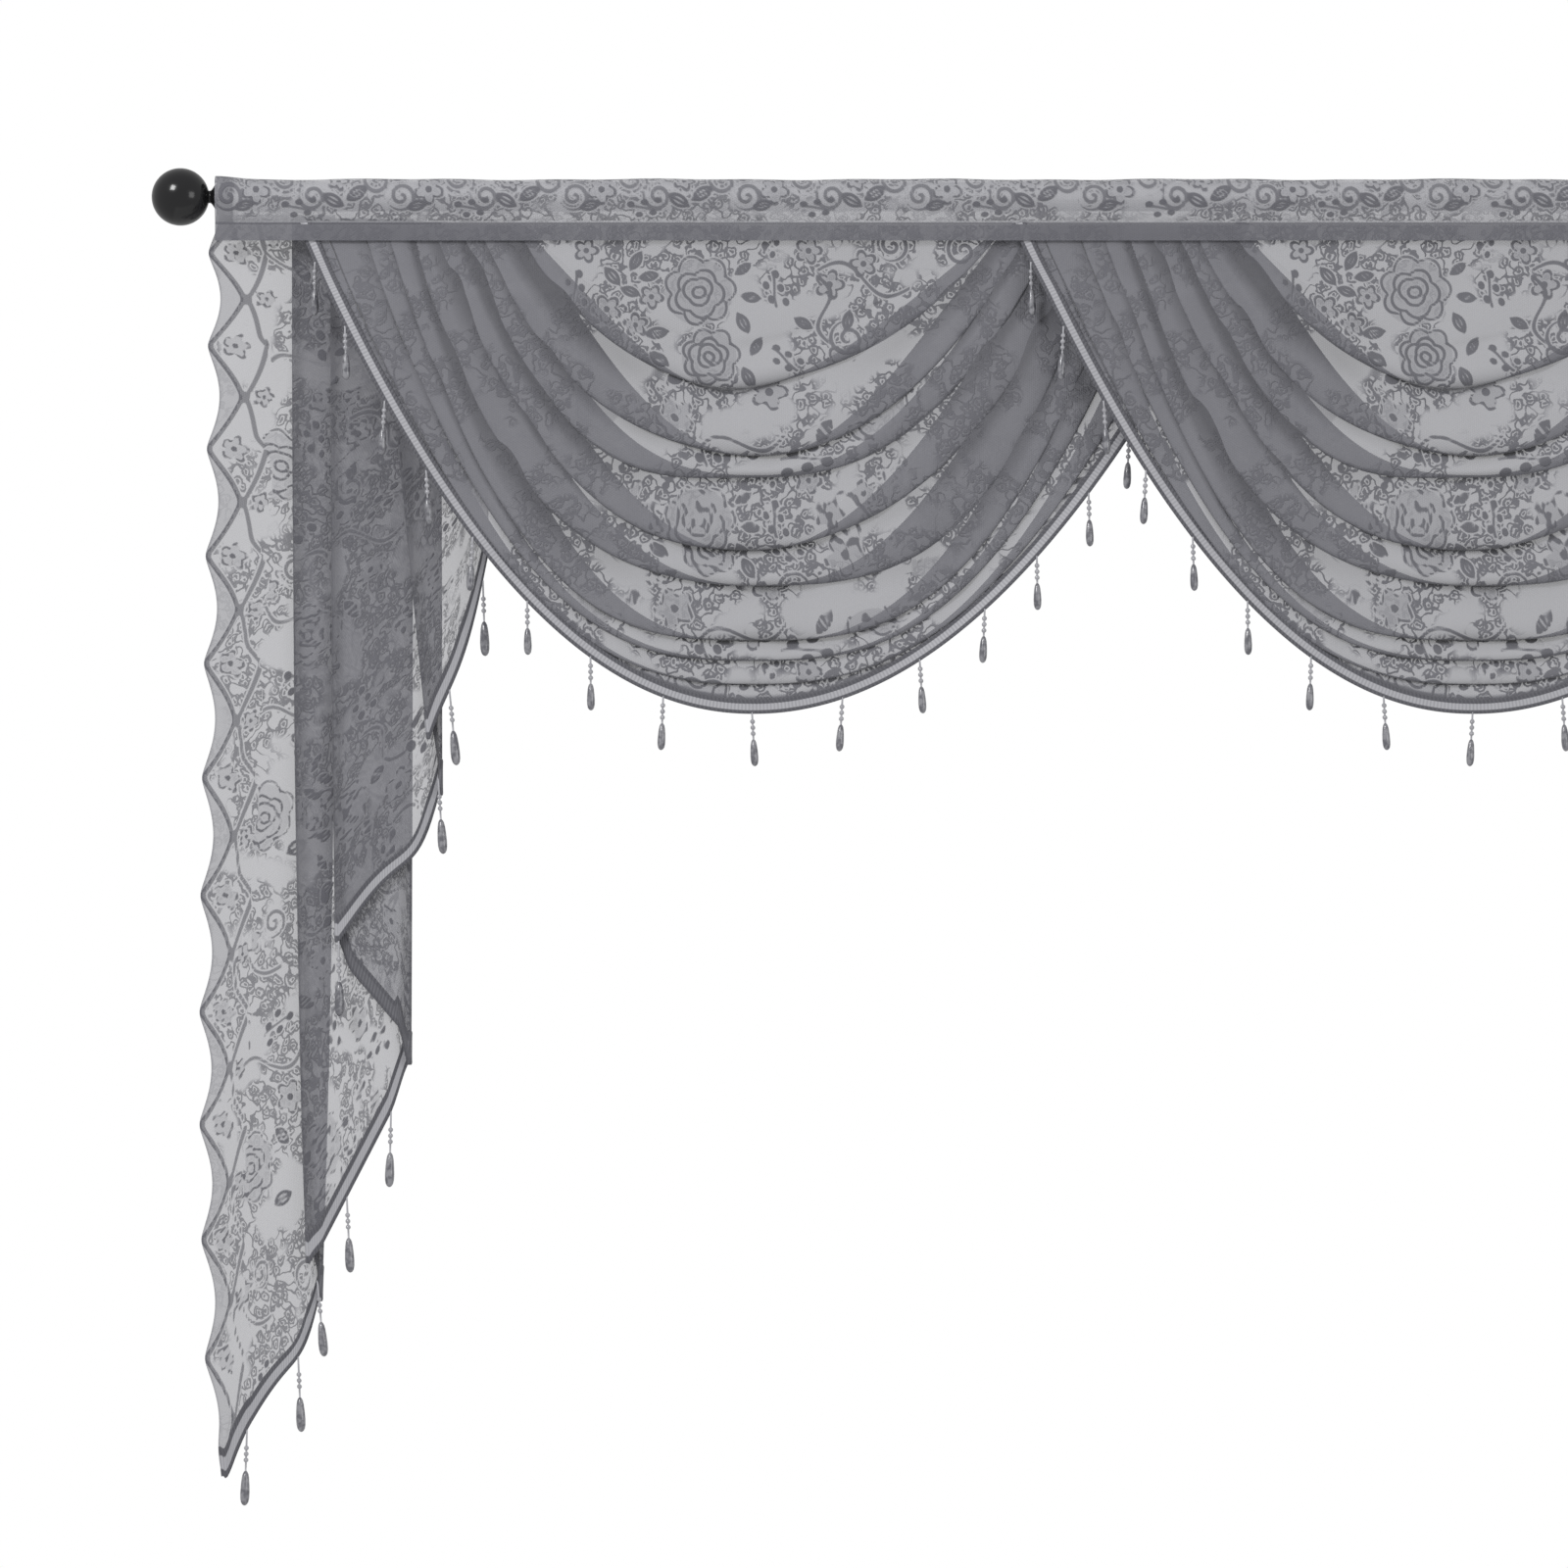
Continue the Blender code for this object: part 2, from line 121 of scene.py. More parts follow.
def grid_faces(rows, columns, closed=False):
    """Four corners for each cell of the grid, turned so that a sheet seen from -Y faces outwards."""
    index = np.arange(rows * columns).reshape(rows, columns)
    if closed:
        index = np.concatenate([index, index[:1]], axis=0)
    corners = [index[:-1, :-1], index[1:, :-1], index[1:, 1:], index[:-1, 1:]]
    return np.stack(corners, axis=-1).reshape(-1, 4)


def new_piece(name, points, faces, material, stands_for, maps=None, fields=None):
    """A piece of those points and faces, with its map, its drawn fields, its finish and its body."""
    mesh = bpy.data.meshes.new(name)
    mesh.from_pydata(points.reshape(-1, 3), [], faces)
    mesh.polygons.foreach_set("use_smooth", np.ones(len(mesh.polygons), dtype=bool))
    if maps is not None:
        corner = np.empty(len(mesh.loops), dtype=np.int32)
        mesh.loops.foreach_get("vertex_index", corner)
        layer = mesh.uv_layers.new(name="cloth")
        layer.data.foreach_set("uv", maps.reshape(-1, 2)[corner].astype(np.float32).ravel())
    for key, values in (fields or {}).items():
        drawn = mesh.attributes.new(key, "FLOAT", "POINT")
        drawn.data.foreach_set("value", values.astype(np.float32).ravel())
    mesh.materials.append(material)
    mesh.update()
    piece = bpy.data.objects.new(name, mesh)
    bpy.context.scene.collection.objects.link(piece)
    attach(piece, "root")
    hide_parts(*stands_for)
    return piece


# %% [markdown]
# ## Shader maths in Python
#
# A small class wraps a shader socket, so that an expression such as `1 - mask * 0.3` adds its own Math
# nodes. Every other node comes from one method that takes its type, its settings and its inputs.


# %% Shader helpers
class Wire:
    """A number that runs through the shader; arithmetic on it adds Math nodes."""

    def __init__(self, finish, socket):
        self.finish = finish
        self.socket = socket

    def maths(self, operation, *others, first=None):
        values = [self] + list(others) if first is None else [first, self]
        return self.finish.node("ShaderNodeMath", {"operation": operation}, dict(enumerate(values)))

    def __add__(self, other):
        return self.maths("ADD", other)

    __radd__ = __add__

    def __sub__(self, other):
        return self.maths("SUBTRACT", other)

    def __rsub__(self, other):
        return self.maths("SUBTRACT", first=other)

    def __mul__(self, other):
        return self.maths("MULTIPLY", other)

    def sine(self):
        return self.maths("SINE")

    def size(self):
        """The number without its sign."""
        return self.maths("ABSOLUTE")

    def largest(self, other):
        return self.maths("MAXIMUM", other)

    def smallest(self, other):
        return self.maths("MINIMUM", other)

    def soft_step(self, low, high):
        """0 where the number is under low, 1 where it is over high, and soft between."""
        settings = {"interpolation_type": "SMOOTHSTEP"}
        return self.finish.node("ShaderNodeMapRange", settings, {"Value": self, 1: low, 2: high})


class Finish:
    """A material with a Principled shader, built up node by node."""

    def __init__(self, name):
        self.material = bpy.data.materials.new(name)
        self.material.use_nodes = True
        self.tree = self.material.node_tree
        self.shader = self.tree.nodes["Principled BSDF"]

    def node(self, kind, settings=None, inputs=None, output=0):
        """A node of that kind: its settings first, then the value or wire of each input."""
        made = self.tree.nodes.new(kind)
        for key, value in (settings or {}).items():
            setattr(made, key, value)
        for key, value in (inputs or {}).items():
            self.feed(made.inputs[key], value)
        return Wire(self, made.outputs[output])

    def feed(self, socket, value):
        if isinstance(value, Wire):
            self.tree.links.new(value.socket, socket)
        else:
            socket.default_value = value

    def drawn(self, key):
        """A field that was drawn on the mesh."""
        return self.node("ShaderNodeAttribute", {"attribute_name": key}, output="Fac")

    def map_axes(self):
        """The two directions of the cloth's map, in metres of cloth."""
        place = self.node("ShaderNodeUVMap", {"uv_map": "cloth"})
        parts = self.node("ShaderNodeSeparateXYZ", None, {0: place})
        return parts, Wire(self, parts.socket.node.outputs[1])

    def noise(self, scale, detail=2.0):
        place = self.node("ShaderNodeTexCoord", output="Object")
        return self.node("ShaderNodeTexNoise", None, {"Vector": place, "Scale": scale, "Detail": detail})

    def map_noise(self, scale, detail):
        """Noise over the cloth's map, so that it lies on the cloth however that is folded."""
        place = self.node("ShaderNodeUVMap", {"uv_map": "cloth"})
        inputs = {"Vector": place, "Scale": scale, "Detail": detail}
        return self.node("ShaderNodeTexNoise", {"noise_dimensions": "2D"}, inputs)

    def buds(self, pitch):
        """Distance to the middle of the nearest cell of the map, in cells; noise bends the cells."""
        place = self.node("ShaderNodeUVMap", {"uv_map": "cloth"})
        noise = {"Vector": place, "Scale": 150.0}
        bend = self.node("ShaderNodeTexNoise", {"noise_dimensions": "2D"}, noise, output="Color")
        moved = {0: bend, 1: (0.006,) * 3, 2: place}
        spot = self.node("ShaderNodeVectorMath", {"operation": "MULTIPLY_ADD"}, moved)
        settings = {"voronoi_dimensions": "2D", "feature": "F1"}
        return self.node("ShaderNodeTexVoronoi", settings, {"Vector": spot, "Scale": 1 / pitch})

    def blend(self, factor, a, b):
        """Colour a where the factor is 0 and colour b where it is 1; each may be a wire."""
        a, b = (colour if isinstance(colour, Wire) else (*colour, 1.0) for colour in (a, b))
        return self.node("ShaderNodeMix", {"data_type": "RGBA"}, {"Factor": factor, 6: a, 7: b}, output=2)

    def bump(self, height, distance, strength=1.0):
        settings = {"Strength": strength, "Distance": distance, "Height": height}
        return self.node("ShaderNodeBump", None, settings)

    def done(self, **inputs):
        for key, value in inputs.items():
            self.feed(self.shader.inputs[key.replace("_", " ")], value)
        return self.material


# %% [markdown]
# ## The lace finish
#
# The ground of the lace is an open net that lets part of the light through. Flowers and leaves are
# knitted closer, and their outlines closest of all. Each cloth carries four drawn fields. `figure`
# and `outline` hold how far a point lies outside the nearest flower body or outline, in millimetres,
# and the shader turns them into crisp edges. The third field is 1 where the cloth is doubled in a hem
# or stands edge-on in a crease, and on the swags it also holds a weaker painted shade on the lower
# half of each roll; it makes the cloth darker and less sheer. `crease` is painted shade deep in a
# gripped pleat, where little light comes in. Between the flowers the shader fills in small buds, which
# are rings about the middles of bent Voronoi cells, and tendrils, which are the contour lines of a
# noise. Both grow in patches that a broader noise picks, so that the lace is busy in some places and
# plain in others.

# %% Lace material
FIGURE_ALPHA = 0.07
OUTLINE_ALPHA = 0.23
NET_PITCH = 0.0016
BUD_PITCH = 0.0105
CREASE_SHADE = 0.60
TENDRIL_SCALE, PATCH_SCALE, BUD_RING = 75.0, 19.0, 0.33


def lace_finish(name, ground_alpha, light, dark, busy):
    """Sheer lace: alpha and colour step from ground to figure to outline, with the net's own mesh,
    and the colour is darkest where a crease is shaded."""
    lace = Finish(name)
    across, along = lace.map_axes()
    near_line = lace.drawn("outline")
    outline = 1 - near_line.soft_step(-0.5, 0.6)
    figure = 1 - lace.drawn("figure").soft_step(-0.8, 0.8)
    dense_and_shade = lace.drawn("dense_and_shade")
    winding = lace.map_noise(TENDRIL_SCALE, 1.5)
    patch = lace.map_noise(PATCH_SCALE, 2.0).soft_step(busy, busy + 0.10)
    clear = near_line.soft_step(0.6, 1.8) * (1 - dense_and_shade * 0.7) * (1 - figure * 0.8)
    tendril = 1 - (winding - 0.5).size().soft_step(0.020, 0.045)
    from_bud = lace.buds(BUD_PITCH)
    ring = 1 - (from_bud - BUD_RING).size().soft_step(0.05, 0.12)
    bud = ring.largest(1 - from_bud.soft_step(0.10, 0.16))
    filler = tendril.largest(bud * 0.95) * patch * clear
    turn = 2 * math.pi / NET_PITCH
    slant = along * (turn * math.sqrt(3) / 2)
    half = across * (turn / 2)
    mesh = (across * turn).sine() + (half + slant).sine() + (half - slant).sine()
    holes = mesh.soft_step(-0.6, 1.6)
    lines = outline.largest(filler)
    alpha = ground_alpha + figure * FIGURE_ALPHA + lines * OUTLINE_ALPHA + dense_and_shade * 0.25 - holes * 0.05
    # Doubled cloth darkens the colour, and on the swags so does the painted shade on each roll.
    tone = figure * 0.20 + lines * 0.78 + dense_and_shade * 0.85 + lace.noise(60.0) * 0.10
    knitted = lace.blend(tone.soft_step(0.0, 1.10), light, dark)
    colour = lace.blend(lace.drawn("crease"), knitted, [CREASE_SHADE * part for part in dark])
    relief = figure * 0.3 + lines * 0.7 + holes * -0.25
    lace.shader.inputs["Sheen Weight"].default_value = 0.3
    lace.shader.inputs["Sheen Roughness"].default_value = 0.4
    lace.shader.inputs["Specular IOR Level"].default_value = 0.3
    return lace.done(
        Base_Color=colour,
        Alpha=alpha.smallest(0.985),
        Roughness=0.68 - lines * 0.10,
        Normal=lace.bump(relief, 0.0006),
    )


LACE = lace_finish("sheer lace", 0.690, (0.300, 0.300, 0.328), (0.128, 0.128, 0.147), 0.40)
SWAG_LACE = lace_finish("swag lace", 0.800, (0.246, 0.246, 0.271), (0.134, 0.134, 0.152), 0.41)
BAND_LACE = lace_finish("heading lace", 0.66, (0.465, 0.465, 0.497), (0.142, 0.142, 0.162), 0.36)
print("lace finishes:", LACE.name, "and", SWAG_LACE.name, "and", BAND_LACE.name)

# %% [markdown]
# ## Drawing the flower figure
#
# A flower figure on lace is a drawing with outlines, so each motif is a distance formula: how far is a
# point from a petal's edge, a leaf's edge or a stem. Distances to several motifs are joined by taking
# the smallest. The drawing is charted as one repeat, a short table of the places of each motif, and
# the modulo of a point's place repeats it over the cloth. The motifs are the plain roses, leaves and
# scrolls that such laces have always had.

# %% Motif formulas
LINE = 2.3
FAR = 9.0


def nothing(u):
    return np.full(u.shape, FAR)


def rose(u, v, size):
    """Petal rings: circles whose radius swells between petals, each ring turned and moved a little
    from the one inside it."""
    angle = np.arctan2(v, u)
    radius = np.hypot(u, v)
    line = nothing(u)
    for share, petals, turn in ((0.18, 2, 0.4), (0.42, 3, 1.3), (0.70, 5, 0.2), (1.0, 7, 0.9)):
        swell = 0.80 + 0.20 * np.abs(np.cos(petals / 2 * angle + turn)) + 0.07 * np.sin(angle + 3 * turn)
        line = np.minimum(line, np.abs(radius - size * share * swell))
    return radius - size * 0.95, line - LINE * 0.45


def blossom(u, v, size):
    """Five round petals about an eye."""
    radius = np.hypot(u, v)
    angle = np.arctan2(v, u)
    edge = radius - size * (0.55 + 0.45 * np.abs(np.cos(2.5 * angle)))
    eye = radius - size * 0.22
    return edge, np.minimum(np.abs(edge) - LINE / 2, eye)


def leaf(u, v, size):
    """Two arcs that meet in points, with a midrib: the overlap of two wide circles."""
    half = size / 2
    lift = half * 0.75
    wide = math.hypot(half, lift)
    edge = np.maximum(np.hypot(u, v - lift), np.hypot(u, v + lift)) - wide
    rib = np.maximum(np.abs(v), np.abs(u) - half) - LINE * 0.35
    return edge, np.minimum(np.abs(edge + LINE / 3) - LINE / 2, rib)


def sprig(u, v, size):
    """A bent stem with small leaves on both sides in turn."""
    bend = v - 0.12 * size * np.sin(u / size * 3.0)
    line = np.maximum(np.abs(bend), np.abs(u) - size / 2) - LINE * 0.42
    figure = nothing(u)
    for number, step in enumerate((-0.42, -0.20, 0.02, 0.24, 0.46)):
        side = 0.19 if number % 2 else -0.19
        bud = np.hypot((u - step * size) * 0.75, v - side * size) - size * 0.10
        figure = np.minimum(figure, bud)
    return figure, np.minimum(line, figure + 0.2)


def scroll(u, v, size):
    """A spiral of one turn and a half: its radius grows evenly with the angle."""
    radius = np.hypot(u, v)
    angle = np.arctan2(v, u) / (2 * math.pi)
    gap = size / 1.5
    turn = radius / gap - angle
    line = np.abs(turn - np.round(turn)) * gap
    line = np.maximum(line, radius - size)
    return nothing(u), line - LINE * 0.6


def stem(u, v, size):
    """A long waving stem."""
    wave = v - 0.14 * size * np.sin(u / size * 6.0)
    return nothing(u), np.maximum(np.abs(wave) * 0.8, np.abs(u) - size / 2) - LINE * 0.5


def drawing(chart, u, v, repeat_u, repeat_v, half_drop=0.0):
    """Figure and outline distances in millimetres of a chart repeated over the cloth's map."""
    figure = nothing(u)
    outline = nothing(u)
    column = np.floor(u / repeat_u + 0.5)
    v = v + half_drop * repeat_v * (column % 2)
    for motif, at_u, at_v, size, turn in ((motif, *place) for motif in chart for place in chart[motif]):
        du = (np.mod(u - at_u / 1000 + repeat_u / 2, repeat_u) - repeat_u / 2) * 1000
        dv = (np.mod(v - at_v / 1000 + repeat_v / 2, repeat_v) - repeat_v / 2) * 1000
        cos, sin = math.cos(math.radians(turn)), math.sin(math.radians(turn))
        body, line = motif(du * cos + dv * sin, dv * cos - du * sin, size)
        figure = np.minimum(figure, body)
        outline = np.minimum(outline, line)
    return figure, outline


def lace_fields(figure, outline, dense_and_shade, crease=0.0):
    """The four fields of a cloth, held within the range that the shader reads."""
    dense_and_shade, crease = (np.broadcast_to(np.clip(field, 0, 1), figure.shape) for field in (dense_and_shade, crease))
    figure, outline = np.clip(figure, -3, 3), np.clip(outline, -3, 3)
    return {"figure": figure, "outline": outline, "dense_and_shade": dense_and_shade, "crease": crease}


# %% The lace's repeat
REPEAT_U = 0.330
REPEAT_V = 0.270
FLOWER_CHART = {
    # millimetres across and down, size, degrees turned
    rose: [(-22, 52, 27, 10), (-14, 102, 22, 60), (112, 205, 27, 35), (-100, 200, 24, 80)],
    blossom: [
        (-108, 20, 9, 0), (-92, 66, 11, 25), (-70, 78, 9, 50), (-58, 56, 9, 10), (78, 46, 11, 0),
        (62, 20, 10, 0), (104, 30, 10, 40), (90, 108, 16, 15), (32, 160, 14, 0), (-40, 180, 15, 30),
        (150, 150, 13, 0), (20, 228, 14, 20),
    ],
    leaf: [
        (-88, 40, 17, 50), (-70, 28, 16, 120), (-60, 40, 15, 170), (-74, 52, 15, 20), (12, 34, 14, 145),
        (18, 56, 15, 10), (12, 76, 17, 60), (-54, 84, 18, 170), (-52, 104, 17, 35), (-46, 124, 17, 150),
        (16, 118, 17, 60), (22, 94, 15, 120), (58, 76, 15, 30), (92, 74, 16, 100), (74, 190, 20, 120),
        (78, 222, 20, 20), (146, 180, 20, 30), (148, 228, 20, 150), (-136, 190, 20, 70),
        (-62, 212, 20, 10), (-72, 172, 18, 130),
    ],
    sprig: [
        (-116, 50, 26, 80), (36, 50, 26, 70), (34, 12, 22, 110), (44, 104, 24, 30), (-30, 142, 46, 5),
        (-126, 118, 34, 20), (60, 242, 36, 165), (-20, 232, 32, 60), (134, 94, 30, 130),
        (-110, 248, 34, 100),
    ],
    scroll: [(92, 88, 13, 0), (126, 16, 11, 200), (50, 134, 12, 90), (-150, 155, 14, 120)],
    stem: [
        (104, 42, 70, 10), (74, 66, 50, 80), (130, 124, 70, -20), (-80, 148, 70, 8), (10, 200, 70, -15),
    ],
}
print("one repeat of the lace holds", sum(map(len, FLOWER_CHART.values())), "motifs")

# %% [markdown]
# ## The swags
#
# A swag is pleated up at both ends and left to sag between them. Every line across it is then a
# hanging curve: x runs evenly and the drop follows 1 - |t|^bow, steep at the ends and flat in the
# middle. A table holds one crease to a row, and the lines between two creases are worked out between
# their rows. What makes the cloth look soft is that each roll laps over the next crease: the level
# runs forward, turns back and runs forward again, and the cloth stands out and in as it does. The
# cloth's map is its place in the front view plus the length that is hidden in each crease passed.

# %% Swag tables
SEWN_Z = -0.0213
SWAG_LOW_X = {"swag_left": -0.2828, "swag_right": 0.2640}
CREASES = (
    # name, left end, right end, low, drop, bow left, bow right
    ("sewn_edge", -0.177, 0.189, -0.020, 0.0000, 1.80, 1.80),
    ("panel_foot", -0.177, 0.189, -0.020, 0.0880, 1.80, 1.80),
    ("first", -0.177, 0.189, -0.020, 0.1270, 1.80, 1.80),
    ("second", -0.200, 0.205, 0.001, 0.1780, 2.10, 2.10),
    ("third", -0.214, 0.219, 0.005, 0.1930, 2.80, 2.15),
    ("fourth", -0.230, 0.248, -0.003, 0.2500, 2.40, 2.05),
    ("fifth", -0.250, 0.261, 0.002, 0.2770, 2.35, 2.50),
    ("sixth", -0.267, 0.275, 0.002, 0.3190, 3.00, 2.90),
    ("seventh", -0.284, 0.300, 0.002, 0.3340, 2.80, 2.70),
    ("eighth", -0.308, 0.330, 0.001, 0.3520, 2.55, 2.45),
    ("hem", -0.349, 0.380, 0.000, 0.3748, 2.10, 2.03),
)
LAPS = np.array([
    # for each crease: lap left, middle, right, gripped from left, from right, depth
    (0.0, 0.00, 0.0, 0.90, 0.90, 0.0000),
    (0.0, 0.00, 0.0, 0.90, 0.90, 0.0010),
    (5.0, 0.80, 4.0, 1.05, 0.95, 0.0060),
    (7.6, 1.05, 6.0, 1.00, 1.12, 0.0070),
    (6.2, 1.40, 4.8, 1.12, 0.92, 0.0055),
    (7.6, 0.95, 6.4, 0.92, 1.08, 0.0075),
    (6.6, 1.15, 6.4, 1.12, 0.90, 0.0065),
    (7.2, 0.90, 6.0, 0.98, 1.02, 0.0075),
    (5.6, 1.45, 4.6, 1.10, 1.08, 0.0045),
    (4.6, 1.20, 4.0, 1.10, 1.05, 0.0035),
    (0.0, 0.00, 0.0, 0.95, 0.95, 0.0000),
])
HEM = len(CREASES) - 1
CREASE_VALUES = np.array([row[1:] for row in CREASES])
SWAG_COLUMNS = 330
SWAG_ROW_STEP = 0.0027
FRONT_LEFT, FRONT_RIGHT = 0.0034, 0.0008
BELLY, LEAD = 0.046, 0.019
HELD_DROP, FREE_LEFT, FREE_RIGHT = 0.014, 0.040, 0.100
HEM_BAND = 0.0115
HIDDEN = 0.031
SWAG_CHART_START, SWAG_CUT = 0.020, 0.72


# %% Swag surface
def table_at(values, level):
    """A table's columns at any level, worked out in a straight line between its rows."""
    rows = np.arange(len(values))
    return [np.interp(level, rows, column) for column in values.T]


def swag_lap(across, level):
    """How far the rolls lap, 0 where they hang open and over 1 where a roll covers the next crease.
    It grows from the middle to where the pleats are gripped, at a different place for each crease."""
    left, middle, right, grip_left, grip_right, _ = table_at(LAPS, level)
    reach = np.abs(across)
    gripped = ease(reach / np.where(across < 0, grip_left, grip_right))
    return mix(middle, np.where(across < 0, left, right), gripped)


def folded_level(level, lap):
    """The level minus lap·sin(2π·level)/2π: where lap is over 1 it turns back at each crease."""
    return level - lap * np.sin(2 * np.pi * level) / (2 * np.pi)


def swag_surface(low_x, across, level, folds=1.0):
    """Points of a swag. Each roll laps over the next crease: the folded level picks the hanging
    curve, and the depth follows -cos(2π·(level - 1/8)), deepest under the lap."""
    depth = table_at(LAPS, level)[5] * folds
    lap = swag_lap(across, level) * folds
    folded = folded_level(level, lap)
    left, right, low, drop, bow_left, bow_right = table_at(CREASE_VALUES, np.clip(folded, 0, HEM))
    reach = np.abs(across)
    x = low_x + low + reach * np.where(across < 0, left - low, right - low)
    fall = drop * (1 - reach ** np.where(across < 0, bow_left, bow_right))
    share = (across + 1) / 2
    free = ease((fall - HELD_DROP) / mix(FREE_LEFT, FREE_RIGHT, share))
    belly = BELLY * (drop / CREASE_VALUES[HEM, 3]) ** 0.8
    side = 1 - reach ** np.where(across < 0, 3.0, 1.4)
    lead = LEAD * np.maximum(0.0, -across) ** 2
    calm = ease((HEM - level) / 1.1)
    roll = -depth * np.cos(2 * np.pi * (level - 0.125)) * calm
    roll = roll * (1 - np.where(across < 0, 0.45, 0.8) * reach**4)
    ripple = 0.0006 * np.sin(x * 70 + level * 9) + 0.0005 * np.sin(x * 131 - level * 5)
    ripple = ripple * calm * folds
    forward = mix(FRONT_LEFT, FRONT_RIGHT, share) + free * (belly * side + lead + roll + ripple)
    forward = forward + (1 - free) * 0.12 * roll
    return np.stack([x, -forward, SEWN_Z - fall], axis=-1)


def swag_dense_and_shade(across, level, to_hem):
    """1 where the cloth stands edge-on in a crease, that is where the folded level hardly changes,
    and along the hem, where the cloth is turned under. The lower half of each roll also gets a weaker
    painted shade, up to 0.35, that grows towards the roll's lower edge, where it turns under."""
    lap = swag_lap(across, level)
    slope = 1 - lap * np.cos(2 * np.pi * level)
    crease = ease(1 - np.abs(slope) / (0.75 + 0.40 * lap)) * mix(0.72, 1.0, ease((lap - 1.5) / 1.5))
    # Painted shade: the lower half of each roll grows darker towards its lower edge.
    under = 0.35 * ease((level % 1 - 0.55) / 0.40) * ease((1.02 - level % 1) / 0.08)
    folds = np.maximum(crease, under) * ease((level - 1.2) * 2)
    return np.maximum(folds, 1 - ease((to_hem - HEM_BAND) / 0.003))


def swag_crease(across, level):
    """The shade just under each roll of the gripped pleats. A roll's lower edge is where the folded
    level turns back, at cos(2π·level) = 1/lap; the shade fades over the cloth that comes out below
    that edge, and is none where the rolls hang open."""
    lap = np.maximum(swag_lap(across, level), 1.0)
    turn = np.arccos(1 / lap) / (2 * np.pi)
    below = folded_level(level, lap) - np.floor(level) - folded_level(-turn, lap)
    side = ease((HEM - 0.15 - level) / 0.3) * ease((level - 1.2) * 2)
    strength = np.where(across < 0, 0.66, 0.50)
    return strength * ease(1 - below / 0.42) * ease((lap - 1.5) / 2.2) * side


def swag_map(x, z, level):
    """(across, down) on the cloth: each crease passed from the second on hides a stretch of cloth."""
    whole = np.floor(level - 0.5)
    passed = whole + ease((level - 0.5 - whole - 0.38) / 0.24)
    return x, SEWN_Z - z + HIDDEN * np.maximum(0.0, passed - 1)


def swag_levels():
    """Levels of the cloth's rows: close together where there is much cloth between two creases."""
    levels = [np.zeros(1)]
    for row in range(HEM):
        cloth = abs(CREASE_VALUES[row + 1, 3] - CREASE_VALUES[row, 3]) + 0.030
        count = round(cloth / SWAG_ROW_STEP)
        levels.append(np.linspace(row, row + 1, count + 1)[1:])
    return np.concatenate(levels)


def make_swag(name):
    """A swag's cloth, with the flower figure drawn on its own map. The figure fades out where the
    pleats are gripped hardest."""
    share = np.linspace(-1, 1, SWAG_COLUMNS + 1)
    across = np.sign(share) * (1 - (1 - np.abs(share)) ** 1.25)
    levels = swag_levels()
    grid_across, grid_level = np.meshgrid(across, levels)
    points = swag_surface(SWAG_LOW_X[name], grid_across, grid_level)
    hem_length = line_run(points[-1])[-1]
    down = run_along(points, 0)
    u, v = swag_map(points[..., 0] - SWAG_LOW_X[name] + SWAG_CHART_START, points[..., 2], grid_level)
    figure, outline = drawing(FLOWER_CHART, u, v, REPEAT_U, REPEAT_V, half_drop=0.5)
    faint = 3.5 * ease((swag_lap(grid_across, grid_level) - 2.4) / 2)
    # Doubled and edge-on cloth, with painted shade on the lower half of each roll.
    dense_and_shade = swag_dense_and_shade(grid_across, grid_level, down[-1:] - down)
    crease = swag_crease(grid_across, grid_level)
    maps = np.stack([u, v], axis=-1)
    drawn = lace_fields(figure + faint, outline + faint, dense_and_shade, crease)
    piece = new_piece(name + "_cloth", points, grid_faces(*u.shape), SWAG_LACE, [name], maps, drawn)
    print(name, "cloth is", len(levels), "by", SWAG_COLUMNS, "cells; hem", round(hem_length, 3), "m")
    return piece, hem_length, down[-1, SWAG_COLUMNS // 2]


SWAG_PIECES = {name: make_swag(name) for name in SWAG_LOW_X}

# %% [markdown]
# ## The cascades
#
# A cascade is one cloth pleated to and fro like a fan. Seen from above it is a flat zigzag with round
# turns, and its lower edge is cut on the slant, so that each layer ends higher than the one behind it.
# The hem sags between its folds where it faces the room, and is lifted on the layers that run back,
# so that little of their braid's dark back shows. The outer side is scalloped. The plan is worked out
# as straight layers joined by half circles whose radius is half the gap between two layers, and the
# gap grows downwards as the pleats fall open.

# %% Cascade table
CASCADE_FRONT_Y = 0.0021
GAP_TOP, GAP_LOW, OPEN_DROP = 0.0019, 0.0058, 0.55
TOP_SLOPE = 0.75
CASCADE_FOLDS = (
    # name, x at the top, x at the hem, swing, z of the hem
    ("outer_edge", -0.6915, -0.6928, 3.0, -0.9825),
    ("first_fold", -0.6038, -0.6150, 2.6, -0.8475),
    ("second_fold", -0.6368, -0.6270, 3.0, -0.8180),
    ("third_fold", -0.5430, -0.5457, 1.0, -0.6650),
    ("fourth_fold", -0.6070, -0.6040, 3.0, -0.5708),
    ("fifth_fold", -0.5220, -0.5213, 1.0, -0.4582),
    ("sixth_fold", -0.5720, -0.5330, 1.0, -0.4150),
    ("inner_edge", -0.4845, -0.4860, 1.0, -0.2745),
)
FOLD_VALUES = np.array([row[1:] for row in CASCADE_FOLDS])
LAYERS = len(CASCADE_FOLDS) - 1
LAYER_HEMS = np.array([
    # sag, power that moves it along the layer, lift at its start, lift at its end
    (0.0160, 3.8, 0.000, 0.000),
    (0.0000, 1.0, 0.020, 0.020),
    (0.0000, 1.0, -0.005, -0.0125),
    (0.0000, 1.0, 0.021, -0.012),
    (0.0190, 3.0, 0.000, 0.000),
    (0.0000, 1.0, 0.020, 0.020),
    (0.0190, 1.5, 0.000, 0.000),
])
EDGE_BOW, EDGE_BOW_LOW = 0.0085, 1.6
